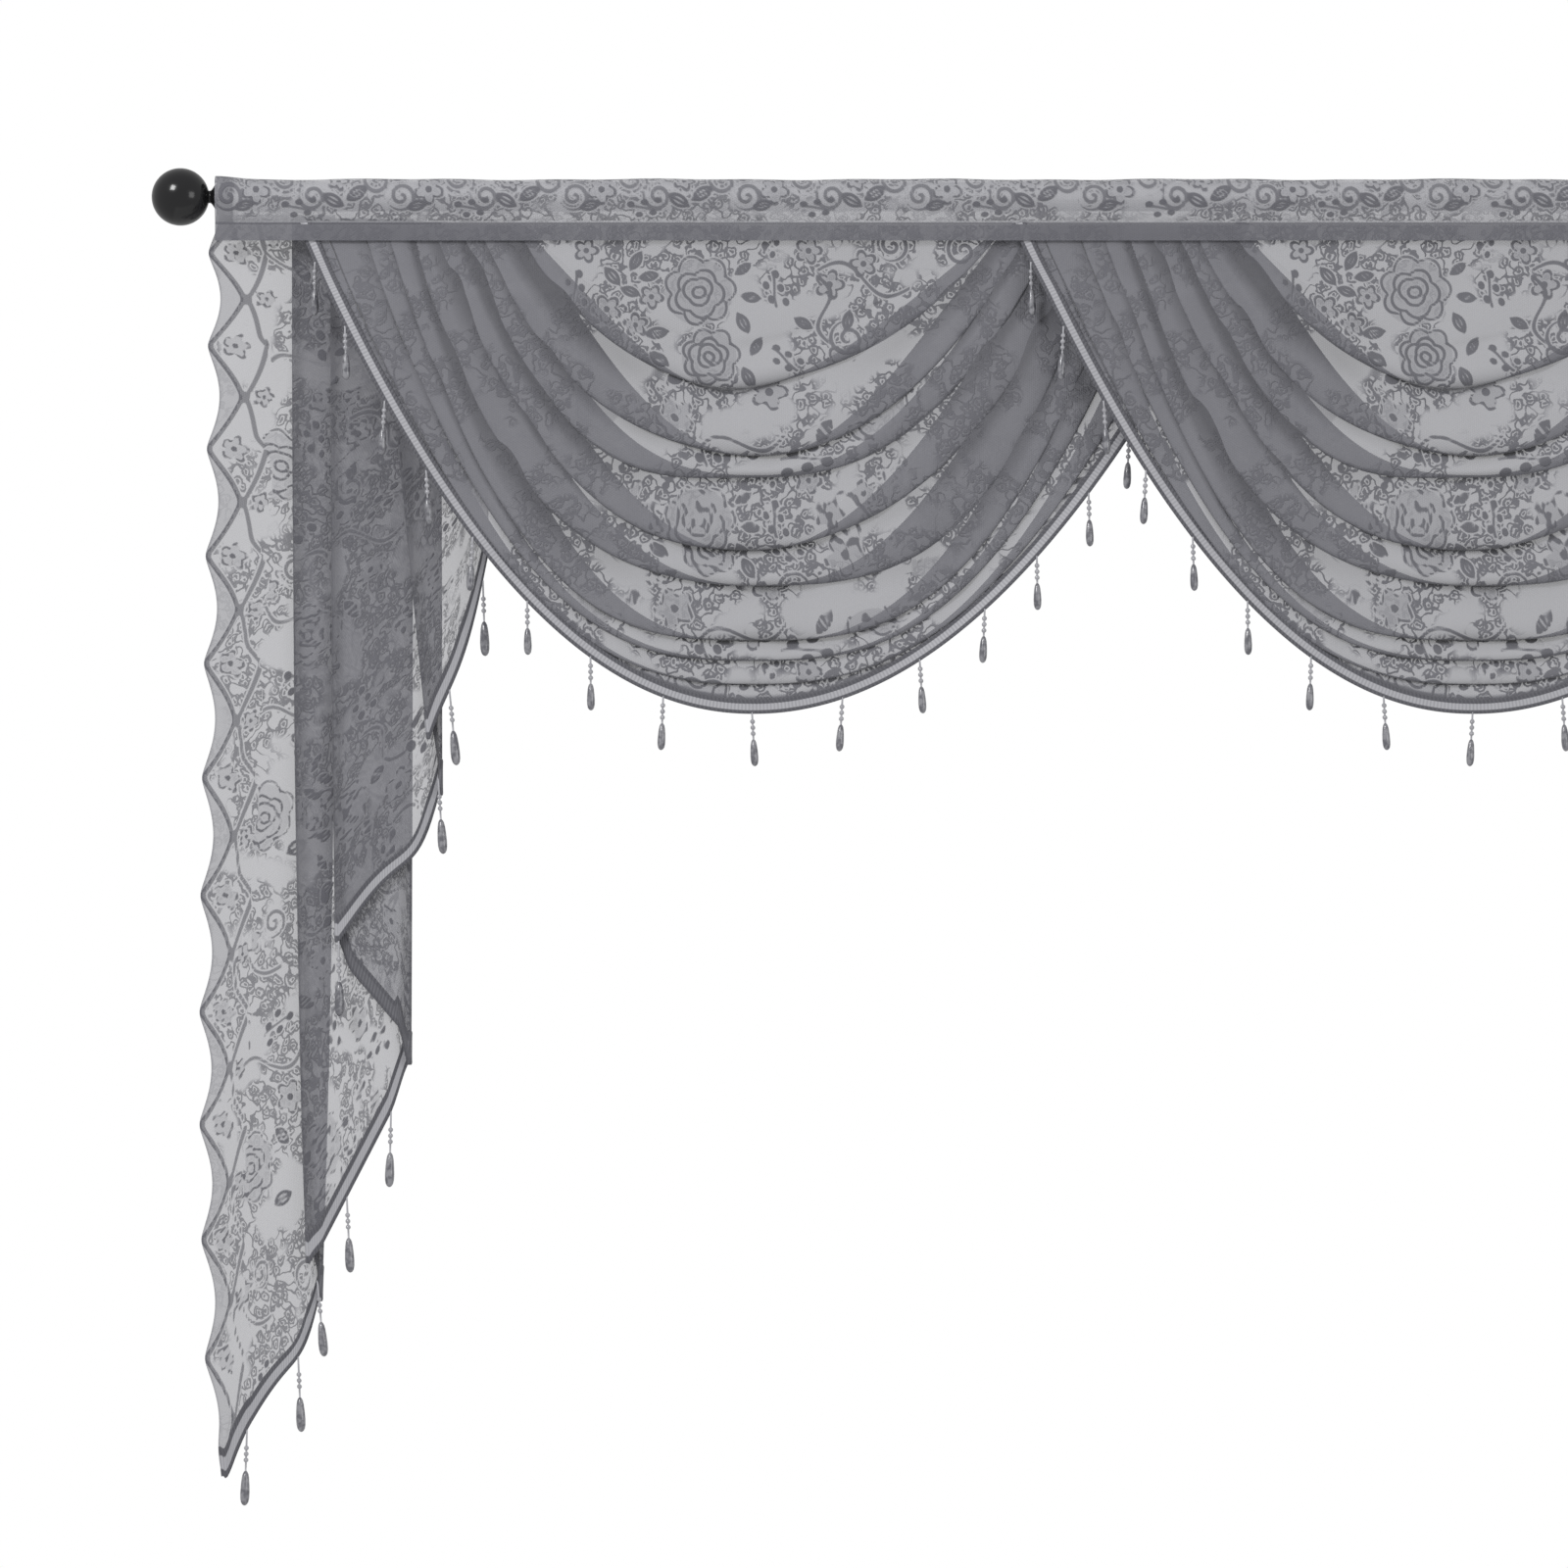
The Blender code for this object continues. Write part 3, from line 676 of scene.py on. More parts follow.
SCALLOP_DEPTH, SCALLOP_PITCH = 0.0112, 0.086
SCALLOP_PEAKS = (
    # heights, from above the sewn edge down to the tip
    0.033, -0.042, -0.113, -0.192, -0.274, -0.3565, -0.4445, -0.535, -0.625, -0.7115, -0.8005, -0.892, -0.985,
)
SCALLOP_END_Z, SCALLOP_FADE = -0.9825, 0.045
FRONT_STEP, BEHIND_STEP = 0.0018, 0.0029
CASCADE_ROWS = 430
TURN_CELLS = 6
CASCADE_CHART_START, BORDER_WIDTH = 0.06, 0.044
STRIP_WIDTH, OUTER_HEM = 0.016, 0.0012
TURN_SHADE, TURN_SHADE_WIDTH = 0.40, 0.011


# %% Cascade surface
def scallop_count(z):
    """Scallops passed down to that height: a straight line between one peak and the next."""
    return np.interp(-z, -np.array(SCALLOP_PEAKS), np.arange(-1, len(SCALLOP_PEAKS) - 1))


def scallop(z):
    """How far the outer edge reaches out: 1 - |sin(π·count)|, its peak rounded off."""
    wave = np.sin(np.pi * scallop_count(z))
    peak = 1 - np.sqrt(wave * wave + 0.03) / math.sqrt(1.03)
    return peak * ease((z - SCALLOP_END_Z) / SCALLOP_FADE)


def cascade_stations():
    """Columns as (layer, share across it, angle round the turn after it or 0)."""
    widths = np.abs(np.diff(FOLD_VALUES[:, :2].mean(axis=1)))
    stations = []
    for layer, width in enumerate(widths):
        cells = max(6, round(width / (BEHIND_STEP if layer else FRONT_STEP)))
        stations += [(layer, share, 0.0) for share in np.linspace(0, 1, cells + 1)]
        if layer < LAYERS - 1:
            stations += [(layer, 1.0, angle) for angle in np.linspace(0, np.pi, TURN_CELLS + 1)[1:-1]]
    return np.array(stations).T


def fold_x(fold, down):
    """Where a fold stands: it swings from its place at the top to that at the hem as down^swing."""
    return mix(FOLD_VALUES[fold, 0], FOLD_VALUES[fold, 1], np.clip(down, 0, 1) ** FOLD_VALUES[fold, 2])


def hem_height(layer, share):
    """The height of the hem: a straight line from fold to fold that sags on the layers that face the
    room and is lifted on those that run back behind them. The tip of the first layer is blunt."""
    sag, power, lift_start, lift_end = LAYER_HEMS[layer].T.reshape(4, *layer.shape)
    line = mix(FOLD_VALUES[layer, 3], FOLD_VALUES[layer + 1, 3], share)
    lifted = mix(lift_start, lift_end, share) * ease(share / 0.14) * ease((1 - share) / 0.18)
    tip = 0.009 * ease(share / 0.06) * ease((0.30 - share) / 0.22) * (layer == 0)
    return line - sag * np.sin(np.pi * share**power) + lifted - tip


def cascade_surface(stations, fall, rise=0.0):
    """Points of the left cascade. Layers are straight from turn to turn; a turn is a half circle of
    radius gap/2; z runs from the sewn edge to the slanting hem."""
    layer, share, angle = (values[None, :] for values in stations)
    layer = layer.astype(int)
    fall = np.asarray(fall)[:, None]
    turning = angle > 0
    hem_z = hem_height(layer[0], share[0])[None, :]
    top_z = SEWN_Z + TOP_SLOPE * GAP_TOP * (LAYERS - 1 - layer)
    top_z = np.where(turning, top_z - TOP_SLOPE * GAP_TOP * angle / np.pi, top_z)
    z = mix(top_z, hem_z + rise, fall)
    gap = mix(GAP_TOP, GAP_LOW, ease((SEWN_Z - z) / OPEN_DROP))
    down = (top_z - z) / (top_z - hem_z)
    edge_a = fold_x(layer, down)
    edge_b = fold_x(layer + 1, down)
    facing = np.sign(edge_b - edge_a)
    start = edge_a + np.where(layer > 0, facing * gap / 2, 0.0)
    end = edge_b - np.where(layer < LAYERS - 1, facing * gap / 2, 0.0)
    x = mix(start, end, share) + facing * gap / 2 * np.sin(angle)
    bow = EDGE_BOW * np.sin(np.pi * np.clip(down, 0, 1) ** EDGE_BOW_LOW) * (1 - share)
    tooth = SCALLOP_DEPTH * scallop(z) * np.maximum(0.0, 1 - 3 * share)
    x = x - np.where(layer == 0, bow + tooth, 0.0)
    y = CASCADE_FRONT_Y + gap * (LAYERS - 1 - layer) - gap / 2 * (1 - np.cos(angle))
    loose = ease((SEWN_Z - z) / 0.25)
    sway = 0.0012 * np.sin(z * 21 + 1.3) + 0.0008 * np.sin(x * 47 + z * 9) + 0.0005 * np.sin(x * 110 - z * 26)
    return np.stack([x, y + sway * loose, z], axis=-1)


def scallop_border(u, z):
    """Figure and outline of the border: a zigzag that touches the edge at each peak of the scallops,
    with plain closer cloth outside it, a second one that mirrors it, a flower in each diamond between
    the two and a knot where they meet."""
    count = scallop_count(z)
    from_peak = np.abs(count - np.round(count))
    pitch = 1000 * SCALLOP_PITCH
    inward = u * 1000
    zigzag = (inward - 1.5 - 34 * from_peak) * 0.90
    second = (inward - 45 + 48 * from_peak) * 0.80
    line = np.minimum(np.abs(zigzag) - 2.0, np.abs(second) - 1.6)
    body, petals = blossom(inward - 21, (count - np.round(count)) * pitch, 10.5)
    side = (0.5 - from_peak) * pitch
    knot = np.hypot(inward - 20, side) - 4.5
    bud, bud_line = blossom(inward - 36, side, 8.0)
    line = np.minimum.reduce([line, petals, knot, bud_line])
    outside = np.where(zigzag < 0, -1.0, FAR)
    return np.minimum.reduce([body, bud, outside]), line


def cascade_dense(stations, u):
    """Closer cloth round the turns of the pleats and along the outer edge, which is turned under, and
    a darker strip on the fourth layer beside the fourth fold."""
    layer, share, angle = stations
    turn = 0.5 * (angle > 0)
    near_fourth = (u[-1] - np.interp(3.99, layer + share, u[-1])) / -STRIP_WIDTH
    strip = 0.35 * ((layer == 3) & (near_fourth < 1))
    outer_hem = 0.4 * (u < OUTER_HEM)
    return np.maximum(np.maximum(turn, strip)[None, :], outer_hem)


def cascade_crease(stations):
    """Shade beside the turns of the pleats, which fades over a centimetre of cloth."""
    layer, share, _ = stations
    width = np.abs(np.diff(FOLD_VALUES[:, :2].mean(axis=1)))[layer.astype(int)]
    to_start = np.where(layer > 0, share, 1.0) * width
    to_end = np.where(layer < LAYERS - 1, 1 - share, 1.0) * width
    return TURN_SHADE * ease(1 - np.minimum(to_start, to_end) / TURN_SHADE_WIDTH)[None, :]


def make_cascade(name, side):
    """A cascade's cloth; the right one is the left one mirrored, so its faces are turned over."""
    stations = cascade_stations()
    points = cascade_surface(stations, np.linspace(0, 1, CASCADE_ROWS + 1))
    u = run_along(points, 1)
    z = points[..., 2]
    figure, outline = drawing(FLOWER_CHART, u + CASCADE_CHART_START, -z, REPEAT_U, REPEAT_V, half_drop=0.5)
    border, border_line = scallop_border(u, z)
    inside = u > BORDER_WIDTH
    figure = np.where(inside, figure, border)
    outline = np.where(inside, outline, border_line)
    faces = grid_faces(*u.shape)
    if side > 0:
        points = points * [-1, 1, 1]
        faces = faces[:, ::-1]
    maps = np.stack([u, -z], axis=-1)
    drawn = lace_fields(figure, outline, cascade_dense(stations, u), cascade_crease(stations))
    piece = new_piece(name + "_cloth", points, faces, LACE, [name], maps, drawn)
    print(name, "is", CASCADE_ROWS, "by", u.shape[1] - 1, "cells, pleated from", round(u[0, -1], 3), "m")
    return piece, u[0, -1]


CASCADE_PIECES = {
    "cascade_left": make_cascade("cascade_left", -1),
    "cascade_right": make_cascade("cascade_right", 1),
}

# %% [markdown]
# ## The heading
#
# The heading is a band folded over the rod and stitched under it, with a skirt that hangs over the
# sewn edges of the swags. Its section is a path from the skirt's lower edge, up to the seam, over the
# rod and back to the seam. The path is carried along the rod and stirred by small waves, for cloth
# is never ruler-straight, and it lifts a little at both ends.

# %% Heading
HEADING_HALF = 0.6945
POCKET_RADIUS = ROD_RADIUS + 0.0013
SEAM_Z, SKIRT_Z, SKIRT_Y = -0.0203, -0.0338, -0.0060
HEADING_COLUMNS, HEADING_ROWS = 640, 84
SCROLL_REPEAT_U, SCROLL_REPEAT_V, SCROLL_START = 0.132, 0.118, 0.041
SCROLL_CHART = {
    # millimetres across and down, size, degrees turned
    scroll: [(-42, 12, 11, 40), (-24, 24, 10, 220), (20, 11, 11, 140), (40, 24, 10, 320)],
    blossom: [(-3, 19, 11, 15), (60, 12, 8, 0)],
    leaf: [(-58, 22, 18, 150), (3, 5, 15, 20), (56, 27, 18, 30), (-12, 31, 16, 165)],
    sprig: [(-32, 5, 22, 5), (30, 33, 24, -8)],
}


def heading_section():
    """Points (y, z) of the heading's path, evenly spaced: skirt, seam, over the rod, and back."""
    skirt = [(SKIRT_Y, SKIRT_Z), (SKIRT_Y, -0.0270), (-0.0058, -0.0225)]
    seam = [(-0.0052, SEAM_Z), (-0.0074, -0.0165)]
    angles = np.radians(np.arange(200, -21, -10))
    pocket = [(POCKET_RADIUS * math.cos(angle), POCKET_RADIUS * math.sin(angle)) for angle in angles]
    back = [(0.0092, -0.0098), (0.0035, -0.0150), (-0.0030, SEAM_Z + 0.0006)]
    path = np.array(skirt + seam + pocket + back)
    run = line_run(path)
    even = np.linspace(0, run[-1], HEADING_ROWS + 1)
    return np.interp(even, run, path[:, 0]), np.interp(even, run, path[:, 1]), even


def make_heading():
    """The band: the section carried along the rod, its rows from the top of the path downwards."""
    section_y, section_z, run = heading_section()
    x, step = np.meshgrid(np.linspace(-HEADING_HALF, HEADING_HALF, HEADING_COLUMNS + 1), run[::-1])
    y = np.interp(step, run, section_y)
    z = np.interp(step, run, section_z)
    near_end = np.exp(-(((HEADING_HALF - np.abs(x)) / 0.02) ** 2))
    ripple = 0.0004 * np.sin(x * 31) + 0.0003 * np.sin(x * 83)
    z = z + (0.0030 * near_end + 0.0012 + ripple) * ease(z / 0.010)
    hanging = ease((SEAM_Z - z) / 0.010) * (y < -0.004)
    y = y - hanging * (0.0004 + 0.0004 * np.sin(x * 58) + 0.0003 * np.sin(x * 137))
    points = np.stack([x, y, z], axis=-1)
    v = run[-1] - step
    figure, outline = drawing(SCROLL_CHART, x, v - SCROLL_START, SCROLL_REPEAT_U, SCROLL_REPEAT_V)
    front = y < -0.003
    seam = np.abs(z - SEAM_Z) * 1000 + np.where(front, 0.0, FAR)
    outline = np.minimum(outline, seam - 0.6)
    skirt = ease((SEAM_Z + 0.0010 - z) / 0.0015) * front
    end_hem = 0.70 * ease((0.0155 - HEADING_HALF + np.abs(x)) / 0.0015)
    maps = np.stack([x, v], axis=-1)
    drawn = lace_fields(figure, outline, np.maximum(skirt, end_hem))
    piece = new_piece(
        "heading_cloth", points, grid_faces(*x.shape), BAND_LACE, ["heading"], maps, drawn
    )
    print("heading cloth", round(run[-1] * 1000), "mm round its section")
    return piece, run[-1]


HEADING_PIECE, HEADING_WIDTH = make_heading()

# %% [markdown]
# ## Braid and bead drops
#
# The braid is a narrow satin tape with a dark cord along each edge, sewn on the face of the hem. Its
# section, a flat band with a round swelling at both edges, is carried along the hem's path. From its
# lower edge hang drops: a thread with three small round beads, and a long bead that widens down.

# %% Braid and bead finishes
BRAID_WIDTH = 0.0108
HEM_CORD, INNER_CORD = 0.0027, 0.0032


def braid_finish():
    """Satin tape: pale, with fine ribs across it and dark cords at its edges; its back is dark."""
    braid = Finish("satin braid")
    along, across = braid.map_axes()
    rib = (along * (2 * math.pi / 0.0028)).sine() * 0.5 + 0.5
    low = 1 - across.soft_step(HEM_CORD - 0.0004, HEM_CORD + 0.0004)
    high = across.soft_step(BRAID_WIDTH - INNER_CORD - 0.0004, BRAID_WIDTH - INNER_CORD + 0.0004)
    cord = (low + high).largest(braid.drawn("back").soft_step(0.3, 0.7) * 0.85)
    twist = (along * (2 * math.pi / 0.0032) + across * 900.0).sine() * 0.5 + 0.5
    tone = cord * (0.92 + twist * -0.16) + rib * (1 - cord) * 0.30 + braid.noise(40.0) * 0.12
    colour = braid.blend(tone.soft_step(0.0, 1.0), (0.430, 0.430, 0.458), (0.080, 0.080, 0.095))
    relief = rib * (1 - cord) * 0.4 + twist * cord
    braid.shader.inputs["Sheen Weight"].default_value = 0.3
    return braid.done(
        Base_Color=colour, Alpha=1.0, Roughness=0.42 + cord * 0.2, Normal=braid.bump(relief, 0.0004)
    )


def bead_finish():
    """Smoky glass beads, glossy and a little cloudy, on a pale thread."""
    bead = Finish("grey beads")
    cloudy = bead.noise(240.0)
    glass = bead.blend(cloudy.soft_step(0.35, 0.65), (0.120, 0.120, 0.138), (0.270, 0.270, 0.290))
    colour = bead.blend(bead.drawn("pale"), glass, (0.48, 0.48, 0.51))
    bead.shader.inputs["Coat Weight"].default_value = 0.5
    return bead.done(Base_Color=colour, Roughness=0.16 + cloudy * 0.15)


BRAID = braid_finish()
BEADS = bead_finish()

# %% Braid surface
BRAID_SECTION = 20
TALLEST_CUT = 2.6


def unit(vectors):
    """Each vector divided by its own length."""
    return vectors / np.linalg.norm(vectors, axis=-1, keepdims=True)


def braid_section():
    """Points (up, out) round the braid, thicker at the two cords than on the tape between them."""
    turn = full_turn(BRAID_SECTION)
    up = BRAID_WIDTH / 2 * (1 - np.sign(np.cos(turn)) * np.abs(np.cos(turn)) ** 0.7)
    edge = np.abs(2 * up / BRAID_WIDTH - 1) ** 4
    out = np.sin(turn) * mix(0.00050, 0.00115, ease(edge * 1.6)) * np.where(edge > 0.98, 0.6, 1.0)
    return up, out


def sweep_braid(name, hem, above, stands_for, side=-1, straight=None):
    """The section carried along the hem: up points from the hem into the cloth, and out is square to
    both and points to the back of the cloth. Where stretches are marked as straight, the braid is cut
    upright at its ends and folds, and made taller so that its width square to the hem stays."""
    path = unit(np.gradient(hem, axis=0))
    rise = unit(above - hem)
    square = rise - (rise * path).sum(axis=1, keepdims=True) * path
    out = np.cross(unit(square), path)
    up = unit(square)
    if straight is not None:
        place = np.arange(len(hem))
        taller = 1 / np.linalg.norm(square, axis=1)
        up = rise * np.interp(place, place[straight], np.minimum(taller, TALLEST_CUT)[straight])[:, None]
    section_up, section_out = braid_section()
    points = hem[None] + section_up[:, None, None] * up[None] + section_out[:, None, None] * out[None]
    count, length = points.shape[:2]
    maps = np.stack(np.broadcast_arrays(line_run(hem)[None, :], section_up[:, None]), axis=-1)
    faces = grid_faces(count, length, closed=True).tolist()
    rim = np.arange(count) * length
    faces += [rim[::-1].tolist(), (rim + length - 1).tolist()]
    if side > 0:
        points = points * [-1, 1, 1]
    faces = [face[::-1] for face in faces] if side < 0 else faces
    back = np.repeat((section_out > 0)[:, None].astype(float), length, axis=1)
    return new_piece(name, points, faces, BRAID, stands_for, maps, {"back": back})


# %% Bead drops
DROP_SIDES = 12
DROP_LEAN = math.radians(6)
THREAD_RADIUS, ROUND_BEAD, BEAD_GAP = 0.0007, 0.0019, 0.0046
LONG_BEAD = (
    # share of the bead's length, share of its greatest radius
    (0.000, 0.22),
    (0.030, 0.42),
    (0.090, 0.62),
    (0.200, 0.78),
    (0.400, 0.92),
    (0.620, 1.00),
    (0.790, 0.96),
    (0.900, 0.80),
    (0.965, 0.52),
    (0.993, 0.22),
)
SWAG_DROP = (-0.0105, -0.0195, -0.0400, 0.0030)
CASCADE_DROP = (-0.0175, -0.0305, -0.0570, 0.0036)
SWAG_DROPS = (
    # distances along the hem from its left end
    0.036, 0.097, 0.162, 0.224, 0.286, 0.350, 0.414, 0.477, 0.546, 0.616, 0.682, 0.745, 0.802, 0.865,
    0.919, 0.981, 1.046,
)
CASCADE_DROPS = (
    # layer and share across it, degrees it leans to the inner side
    (0.265, -1.5),
    (0.79, 2.8),
    (1.08, 5.5),
    (2.38, 3.0),
    (2.83, -1.0),
    (4.00, 1.0),
    (5.06, 4.0),
    (6.34, 5.5),
    (6.91, 2.0),
)


def drop_profile(bead_z, top, foot, wide):
    """Points (radius, z, pale) down a drop: thread, three small round beads and the long bead."""
    turn = np.linspace(0.4, math.pi - 0.4, 6)
    rows = [(0.0, 0.0016, 1.0), (THREAD_RADIUS, 0.0014, 1.0)]
    for centre in (bead_z + BEAD_GAP, bead_z, bead_z - BEAD_GAP):
        rows += [(ROUND_BEAD * math.sin(a), centre + ROUND_BEAD * math.cos(a), 0.6) for a in turn]
    rows.append((THREAD_RADIUS, top + 0.0002, 1.0))
    rows += [(wide * radius, mix(top, foot, share), 0.0) for share, radius in LONG_BEAD]
    return np.array(rows + [(0.0, foot, 0.0)])


def turned_drops(name, roots, sway, shape, stands_for):
    """All drops of a hem in one mesh: a profile turned about a thread, then leaned to the room and
    swayed to one side or the other."""
    profile = drop_profile(*shape)
    turn = full_turn(DROP_SIDES)
    ring_x, ring_y = profile[:, :1] * np.cos(turn), profile[:, :1] * np.sin(turn)
    down = np.repeat(profile[:, 1:2], DROP_SIDES, axis=1)
    x = ring_x[None] + down[None] * np.sin(sway)[:, None, None]
    y = ring_y[None] + down[None] * math.sin(DROP_LEAN)
    z = down[None] * math.cos(DROP_LEAN)
    points = np.stack(np.broadcast_arrays(x, y, z), axis=-1) + roots[:, None, None, :]
    one = np.arange(down.size).reshape(down.shape)
    around = np.concatenate([one, one[:, :1]], axis=1)
    cells = np.stack([around[:-1, :-1], around[1:, :-1], around[1:, 1:], around[:-1, 1:]], axis=-1)
    faces = (cells.reshape(1, -1, 4) + (np.arange(len(roots)) * one.size)[:, None, None]).reshape(-1, 4)
    pale = np.broadcast_to(profile[None, :, 2:3], points.shape[:3])
    piece = new_piece(name, points, faces, BEADS, stands_for, fields={"pale": pale})
    weld_poles(piece)
    return piece


def weld_poles(piece):
    """Merge the points that meet at each drop's two tips, so that the tips are closed."""
    shape = bmesh.new()
    shape.from_mesh(piece.data)
    bmesh.ops.remove_doubles(shape, verts=shape.verts, dist=0.00002)
    bmesh.ops.recalc_face_normals(shape, faces=shape.faces)
    shape.to_mesh(piece.data)
    shape.free()


# %% Trim the swags
def trim_swag(name):
    """Braid and drops of a swag, on the face of its hem."""
    across = np.linspace(-1, 1, 301)
    hem = swag_surface(SWAG_LOW_X[name], across, np.full(across.shape, float(HEM)))
    above = swag_surface(SWAG_LOW_X[name], across, np.full(across.shape, HEM - 0.4), folds=0.0)
    forward = np.array([0.0, -0.0016, 0.0])
    trim = name + "_trim"
    braid = sweep_braid(name + "_braid", hem + forward, above + forward, [trim])
    roots = points_at(SWAG_DROPS, line_run(hem), hem)
    sway = np.radians(3.5) * np.sin(np.arange(len(roots)) * 2.4 + roots[:, 0] * 5)
    drops = turned_drops(name + "_drops", roots + forward, sway, SWAG_DROP, [trim])
    return braid, drops


for name, (cloth, hem_length, cloth_drop) in SWAG_PIECES.items():
    braid, drops = trim_swag(name)
    flat = (hem_length, cloth_drop)
    area = SWAG_CUT * flat[0] * flat[1]
    print(name, "cut about", round(flat[0], 2), "by", round(flat[1], 2), "m")


# %% Trim the cascades
def trim_cascade(name, side):
    """Braid and drops of a cascade; the braid goes round every turn of the pleats."""
    stations = cascade_stations()
    hem = cascade_surface(stations, [1.0])[0]
    above = cascade_surface(stations, [1.0], rise=0.006)[0]
    trim = name + "_trim"
    layer, share, _ = stations
    straight = (share > 0.1) & (share < 0.9)
    braid = sweep_braid(name + "_braid", hem, above, [trim], side, straight)
    place, lean = np.array(CASCADE_DROPS).T
    roots = points_at(place, layer + share, hem)
    sway = np.radians(lean) * side
    if side > 0:
        roots = roots * [-1, 1, 1]
    drops = turned_drops(name + "_drops", roots, sway, CASCADE_DROP, [trim])
    return braid, drops


for name, side in (("cascade_left", -1), ("cascade_right", 1)):
    cloth, pleated_width = CASCADE_PIECES[name]
    braid, drops = trim_cascade(name, side)
    long_side = SEWN_Z - FOLD_VALUES[0, 3]
    short_side = SEWN_Z - FOLD_VALUES[-1, 3]
    area = pleated_width * (long_side + short_side) / 2
    flat = (pleated_width, long_side)
    print(name, "cut about", round(flat[0], 2), "by", round(flat[1], 2), "m on the slant")

# %% [markdown]
# ## Rod and finials
#
# The ball finials are turned and lacquered black. A turned shape is a profile swept round an axis, so
# the ball stays round at any distance. The rod inside the pocket keeps its own solid with a satin
# steel finish.


# %% Metal finishes
def lacquer_finish():
    """Black gloss lacquer with a faint orange-peel surface."""
    lacquer = Finish("black lacquer")
    peel = lacquer.noise(420.0)
    tone = lacquer.noise(30.0)
    colour = lacquer.blend(tone, (0.006, 0.006, 0.007), (0.014, 0.014, 0.015))
    lacquer.shader.inputs["Specular IOR Level"].default_value = 0.45
    return lacquer.done(
        Base_Color=colour, Roughness=0.14 + tone * 0.08, Normal=lacquer.bump(peel, 0.00004)
    )


def steel_finish():
    """Pale satin steel, drawn lengthways."""
    steel = Finish("pale steel")
    grain = steel.noise(90.0)
    colour = steel.blend(grain, (0.70, 0.70, 0.71), (0.80, 0.80, 0.81))
    return steel.done(Base_Color=colour, Roughness=0.38 + grain * 0.12)


LACQUER = lacquer_finish()
STEEL = steel_finish()
frame["nodes"]["rod"].data.materials.clear()
frame["nodes"]["rod"].data.materials.append(STEEL)

# %% Finials
BALL_RADIUS, BALL_CENTRE = 0.022, 0.0285
NECK_RADIUS, COLLAR_RADIUS = 0.0048, 0.0095
FINIAL_START = ROD_HALF + 0.0004
FINIAL_SIDES = 64


def finial_profile():
    """Points (radius, distance from the rod's end): the collar, its flare, the neck and the ball."""
    flare = np.linspace(0, 1, 9)
    neck = [(mix(COLLAR_RADIUS, NECK_RADIUS, ease(t)), 0.0012 + 0.0045 * t) for t in flare]
    angles = np.linspace(math.asin(NECK_RADIUS / BALL_RADIUS), np.pi, 40)
    ball = [(BALL_RADIUS * math.sin(a), BALL_CENTRE - BALL_RADIUS * math.cos(a)) for a in angles]
    return np.array([(0.0, 0.0), (COLLAR_RADIUS - 0.0004, 0.0), (COLLAR_RADIUS, 0.0004)] + neck + ball)


def make_finial(name, side):
    """The profile turned about the rod's axis."""
    profile = finial_profile()
    turn = full_turn(FINIAL_SIDES)[:, None]
    x = side * (FINIAL_START + profile[None, :, 1] + 0 * turn)
    y = profile[None, :, 0] * np.cos(turn)
    z = profile[None, :, 0] * np.sin(turn)
    points = np.stack([x, y, z], axis=-1)
    faces = grid_faces(FINIAL_SIDES, len(profile), closed=True)
    piece = new_piece(name + "_turned", points, faces, LACQUER, [name])
    weld_poles(piece)
    return piece


for name, side in (("finial_left", -1), ("finial_right", 1)):
    make_finial(name, side)
print("finials turned,", round(2 * BALL_RADIUS * 1000), "mm balls")

# %% [markdown]
# ## Camera, light and floor
#
# The picture is a straight front view, so a long lens stands far away, level, and looks along +Y. It
# takes in 1.2 m, from a little outside the left finial to past the middle of the right swag. The
# light is a white surround with a soft key from the upper left and a weaker one from the right.

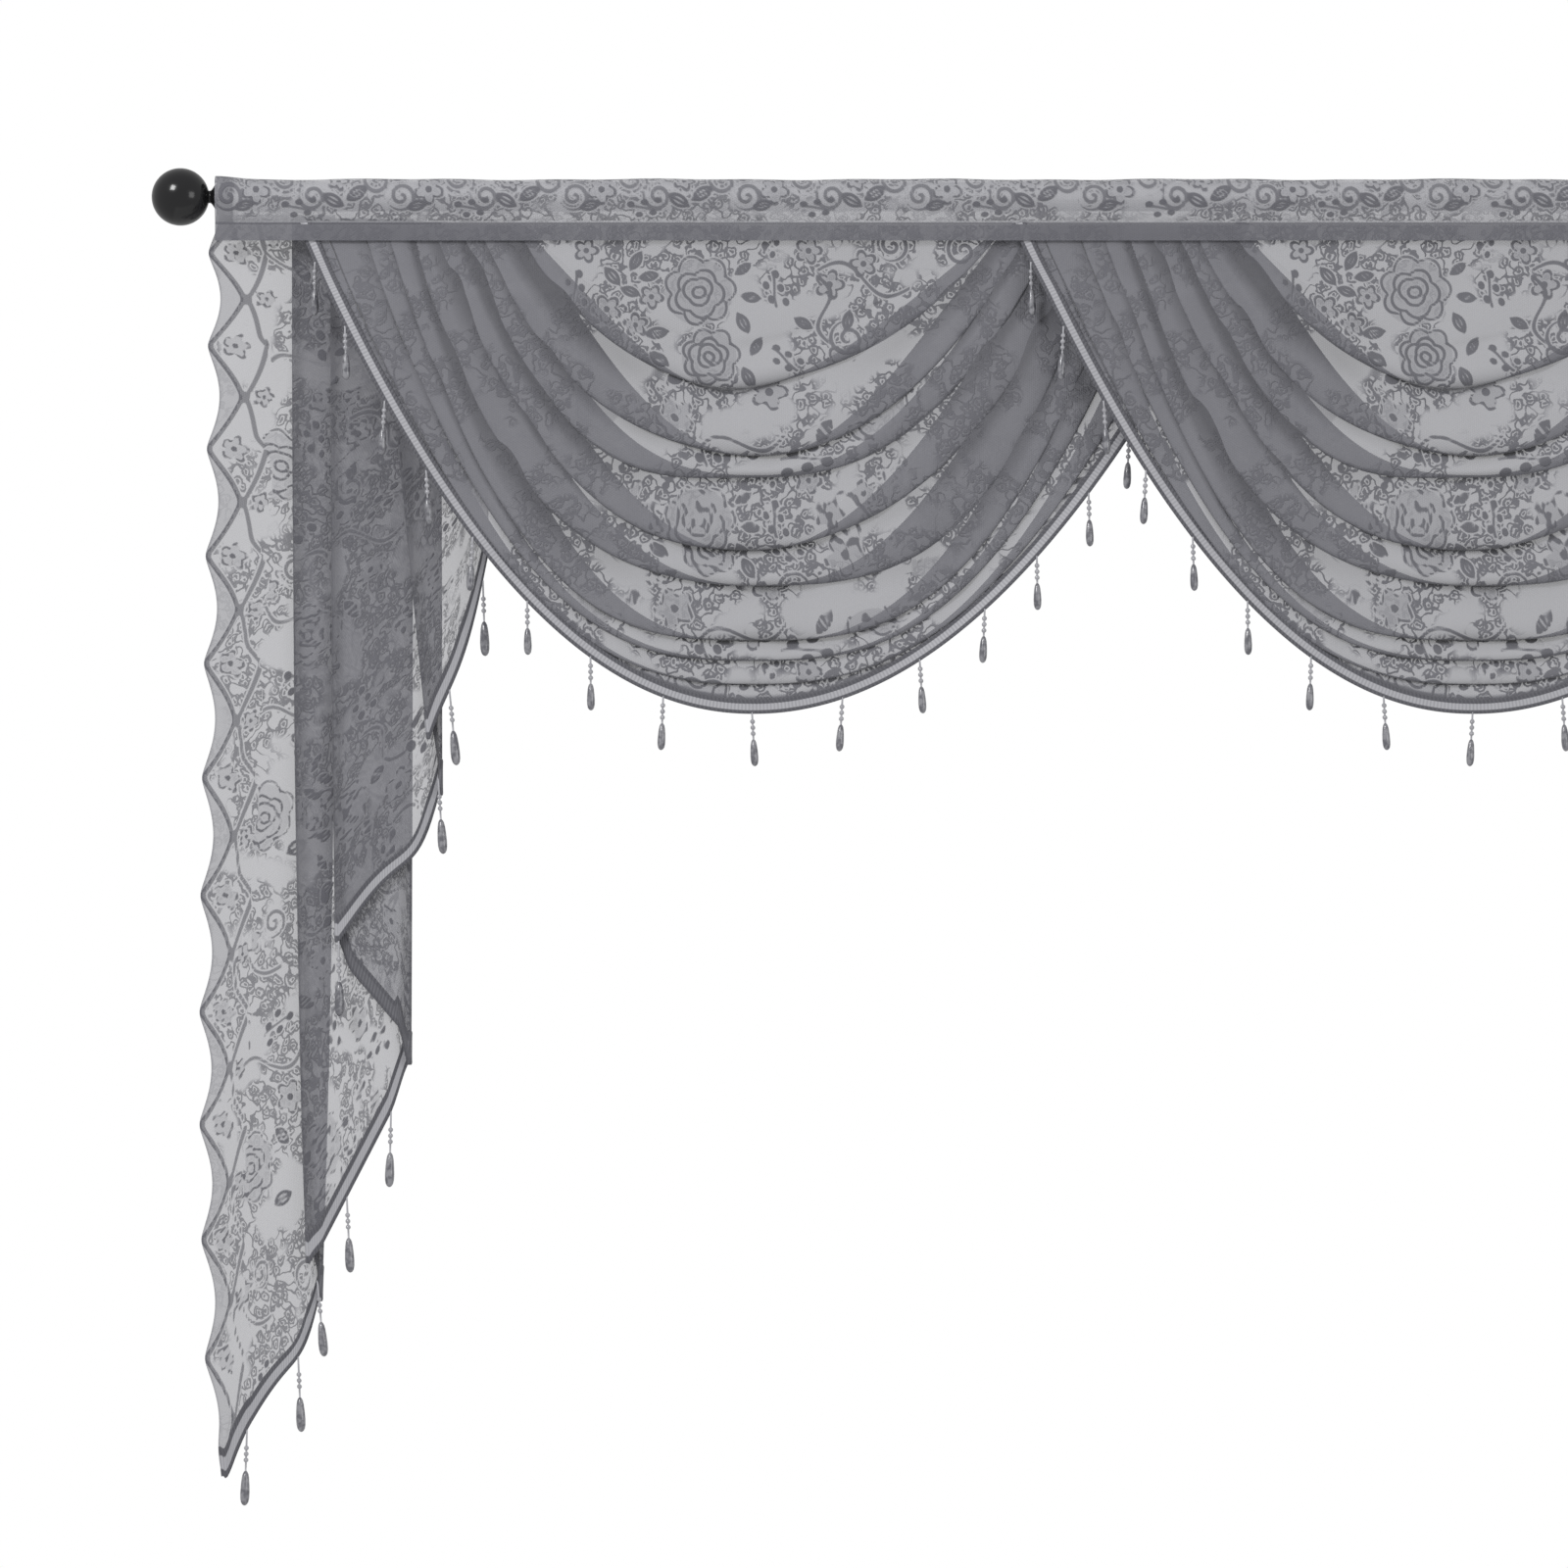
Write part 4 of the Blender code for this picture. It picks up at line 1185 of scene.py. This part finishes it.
# %% Camera
PICTURE_WIDTH = 1.2
PICTURE_CENTRE = Vector((-0.2595, 0.0, -0.4493))
CAMERA_DISTANCE = 6.0
camera = bpy.data.objects.new("camera", bpy.data.cameras.new("camera"))
camera.location = PICTURE_CENTRE + Vector((0.0, -CAMERA_DISTANCE, 0.0))
camera.rotation_euler = (math.pi / 2, 0, 0)
camera.data.lens = camera.data.sensor_width * CAMERA_DISTANCE / PICTURE_WIDTH
bpy.context.scene.collection.objects.link(camera)
bpy.context.scene.camera = camera


# %% Lights and surround
def soft_light(name, place, size, power):
    """A square lamp that points at the middle of the valance."""
    lamp = bpy.data.lights.new(name, "AREA")
    lamp.size = size
    lamp.energy = power
    made = bpy.data.objects.new(name, lamp)
    made.location = place
    aim = Vector((0.0, 0.0, -0.35)) - Vector(place)
    made.rotation_euler = aim.to_track_quat("-Z", "Y").to_euler()
    bpy.context.scene.collection.objects.link(made)


soft_light("key", (-2.2, -2.6, 1.9), 1.1, 70.0)
soft_light("fill", (2.6, -2.8, 0.4), 1.6, 22.0)

surround = bpy.data.worlds.new("white surround")
bpy.context.scene.world = surround
surround.use_nodes = True
nodes, links = surround.node_tree.nodes, surround.node_tree.links
seen = nodes.new("ShaderNodeBackground")
seen.inputs["Color"].default_value = (1.0, 1.0, 1.0, 1.0)
lighting = nodes["Background"]
lighting.inputs["Color"].default_value = (1.0, 1.0, 1.0, 1.0)
lighting.inputs["Strength"].default_value = 0.55
ray = nodes.new("ShaderNodeLightPath")
choice = nodes.new("ShaderNodeMixShader")
links.new(ray.outputs["Is Camera Ray"], choice.inputs[0])
links.new(lighting.outputs[0], choice.inputs[1])
links.new(seen.outputs[0], choice.inputs[2])
links.new(choice.outputs[0], nodes["World Output"].inputs["Surface"])
bpy.context.scene.view_settings.view_transform = "Standard"

# %% Floor
FLOOR_SIZE, FLOOR_Z = 2.3, -1.20
bpy.ops.mesh.primitive_plane_add(size=FLOOR_SIZE, location=(0, 0, FLOOR_Z))
floor = bpy.context.object
floor.name = "floor"
pale = Finish("pale floor")
pale_colour = pale.blend(pale.noise(3.0), (0.80, 0.80, 0.80), (0.86, 0.86, 0.86))
floor.data.materials.append(pale.done(Base_Color=pale_colour, Roughness=0.7))

# %% Sizes and finish
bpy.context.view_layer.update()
triangles = sum(len(f.vertices) - 2 for o in bpy.data.objects if o.type == "MESH" for f in o.data.polygons)
print("triangles in all:", triangles)
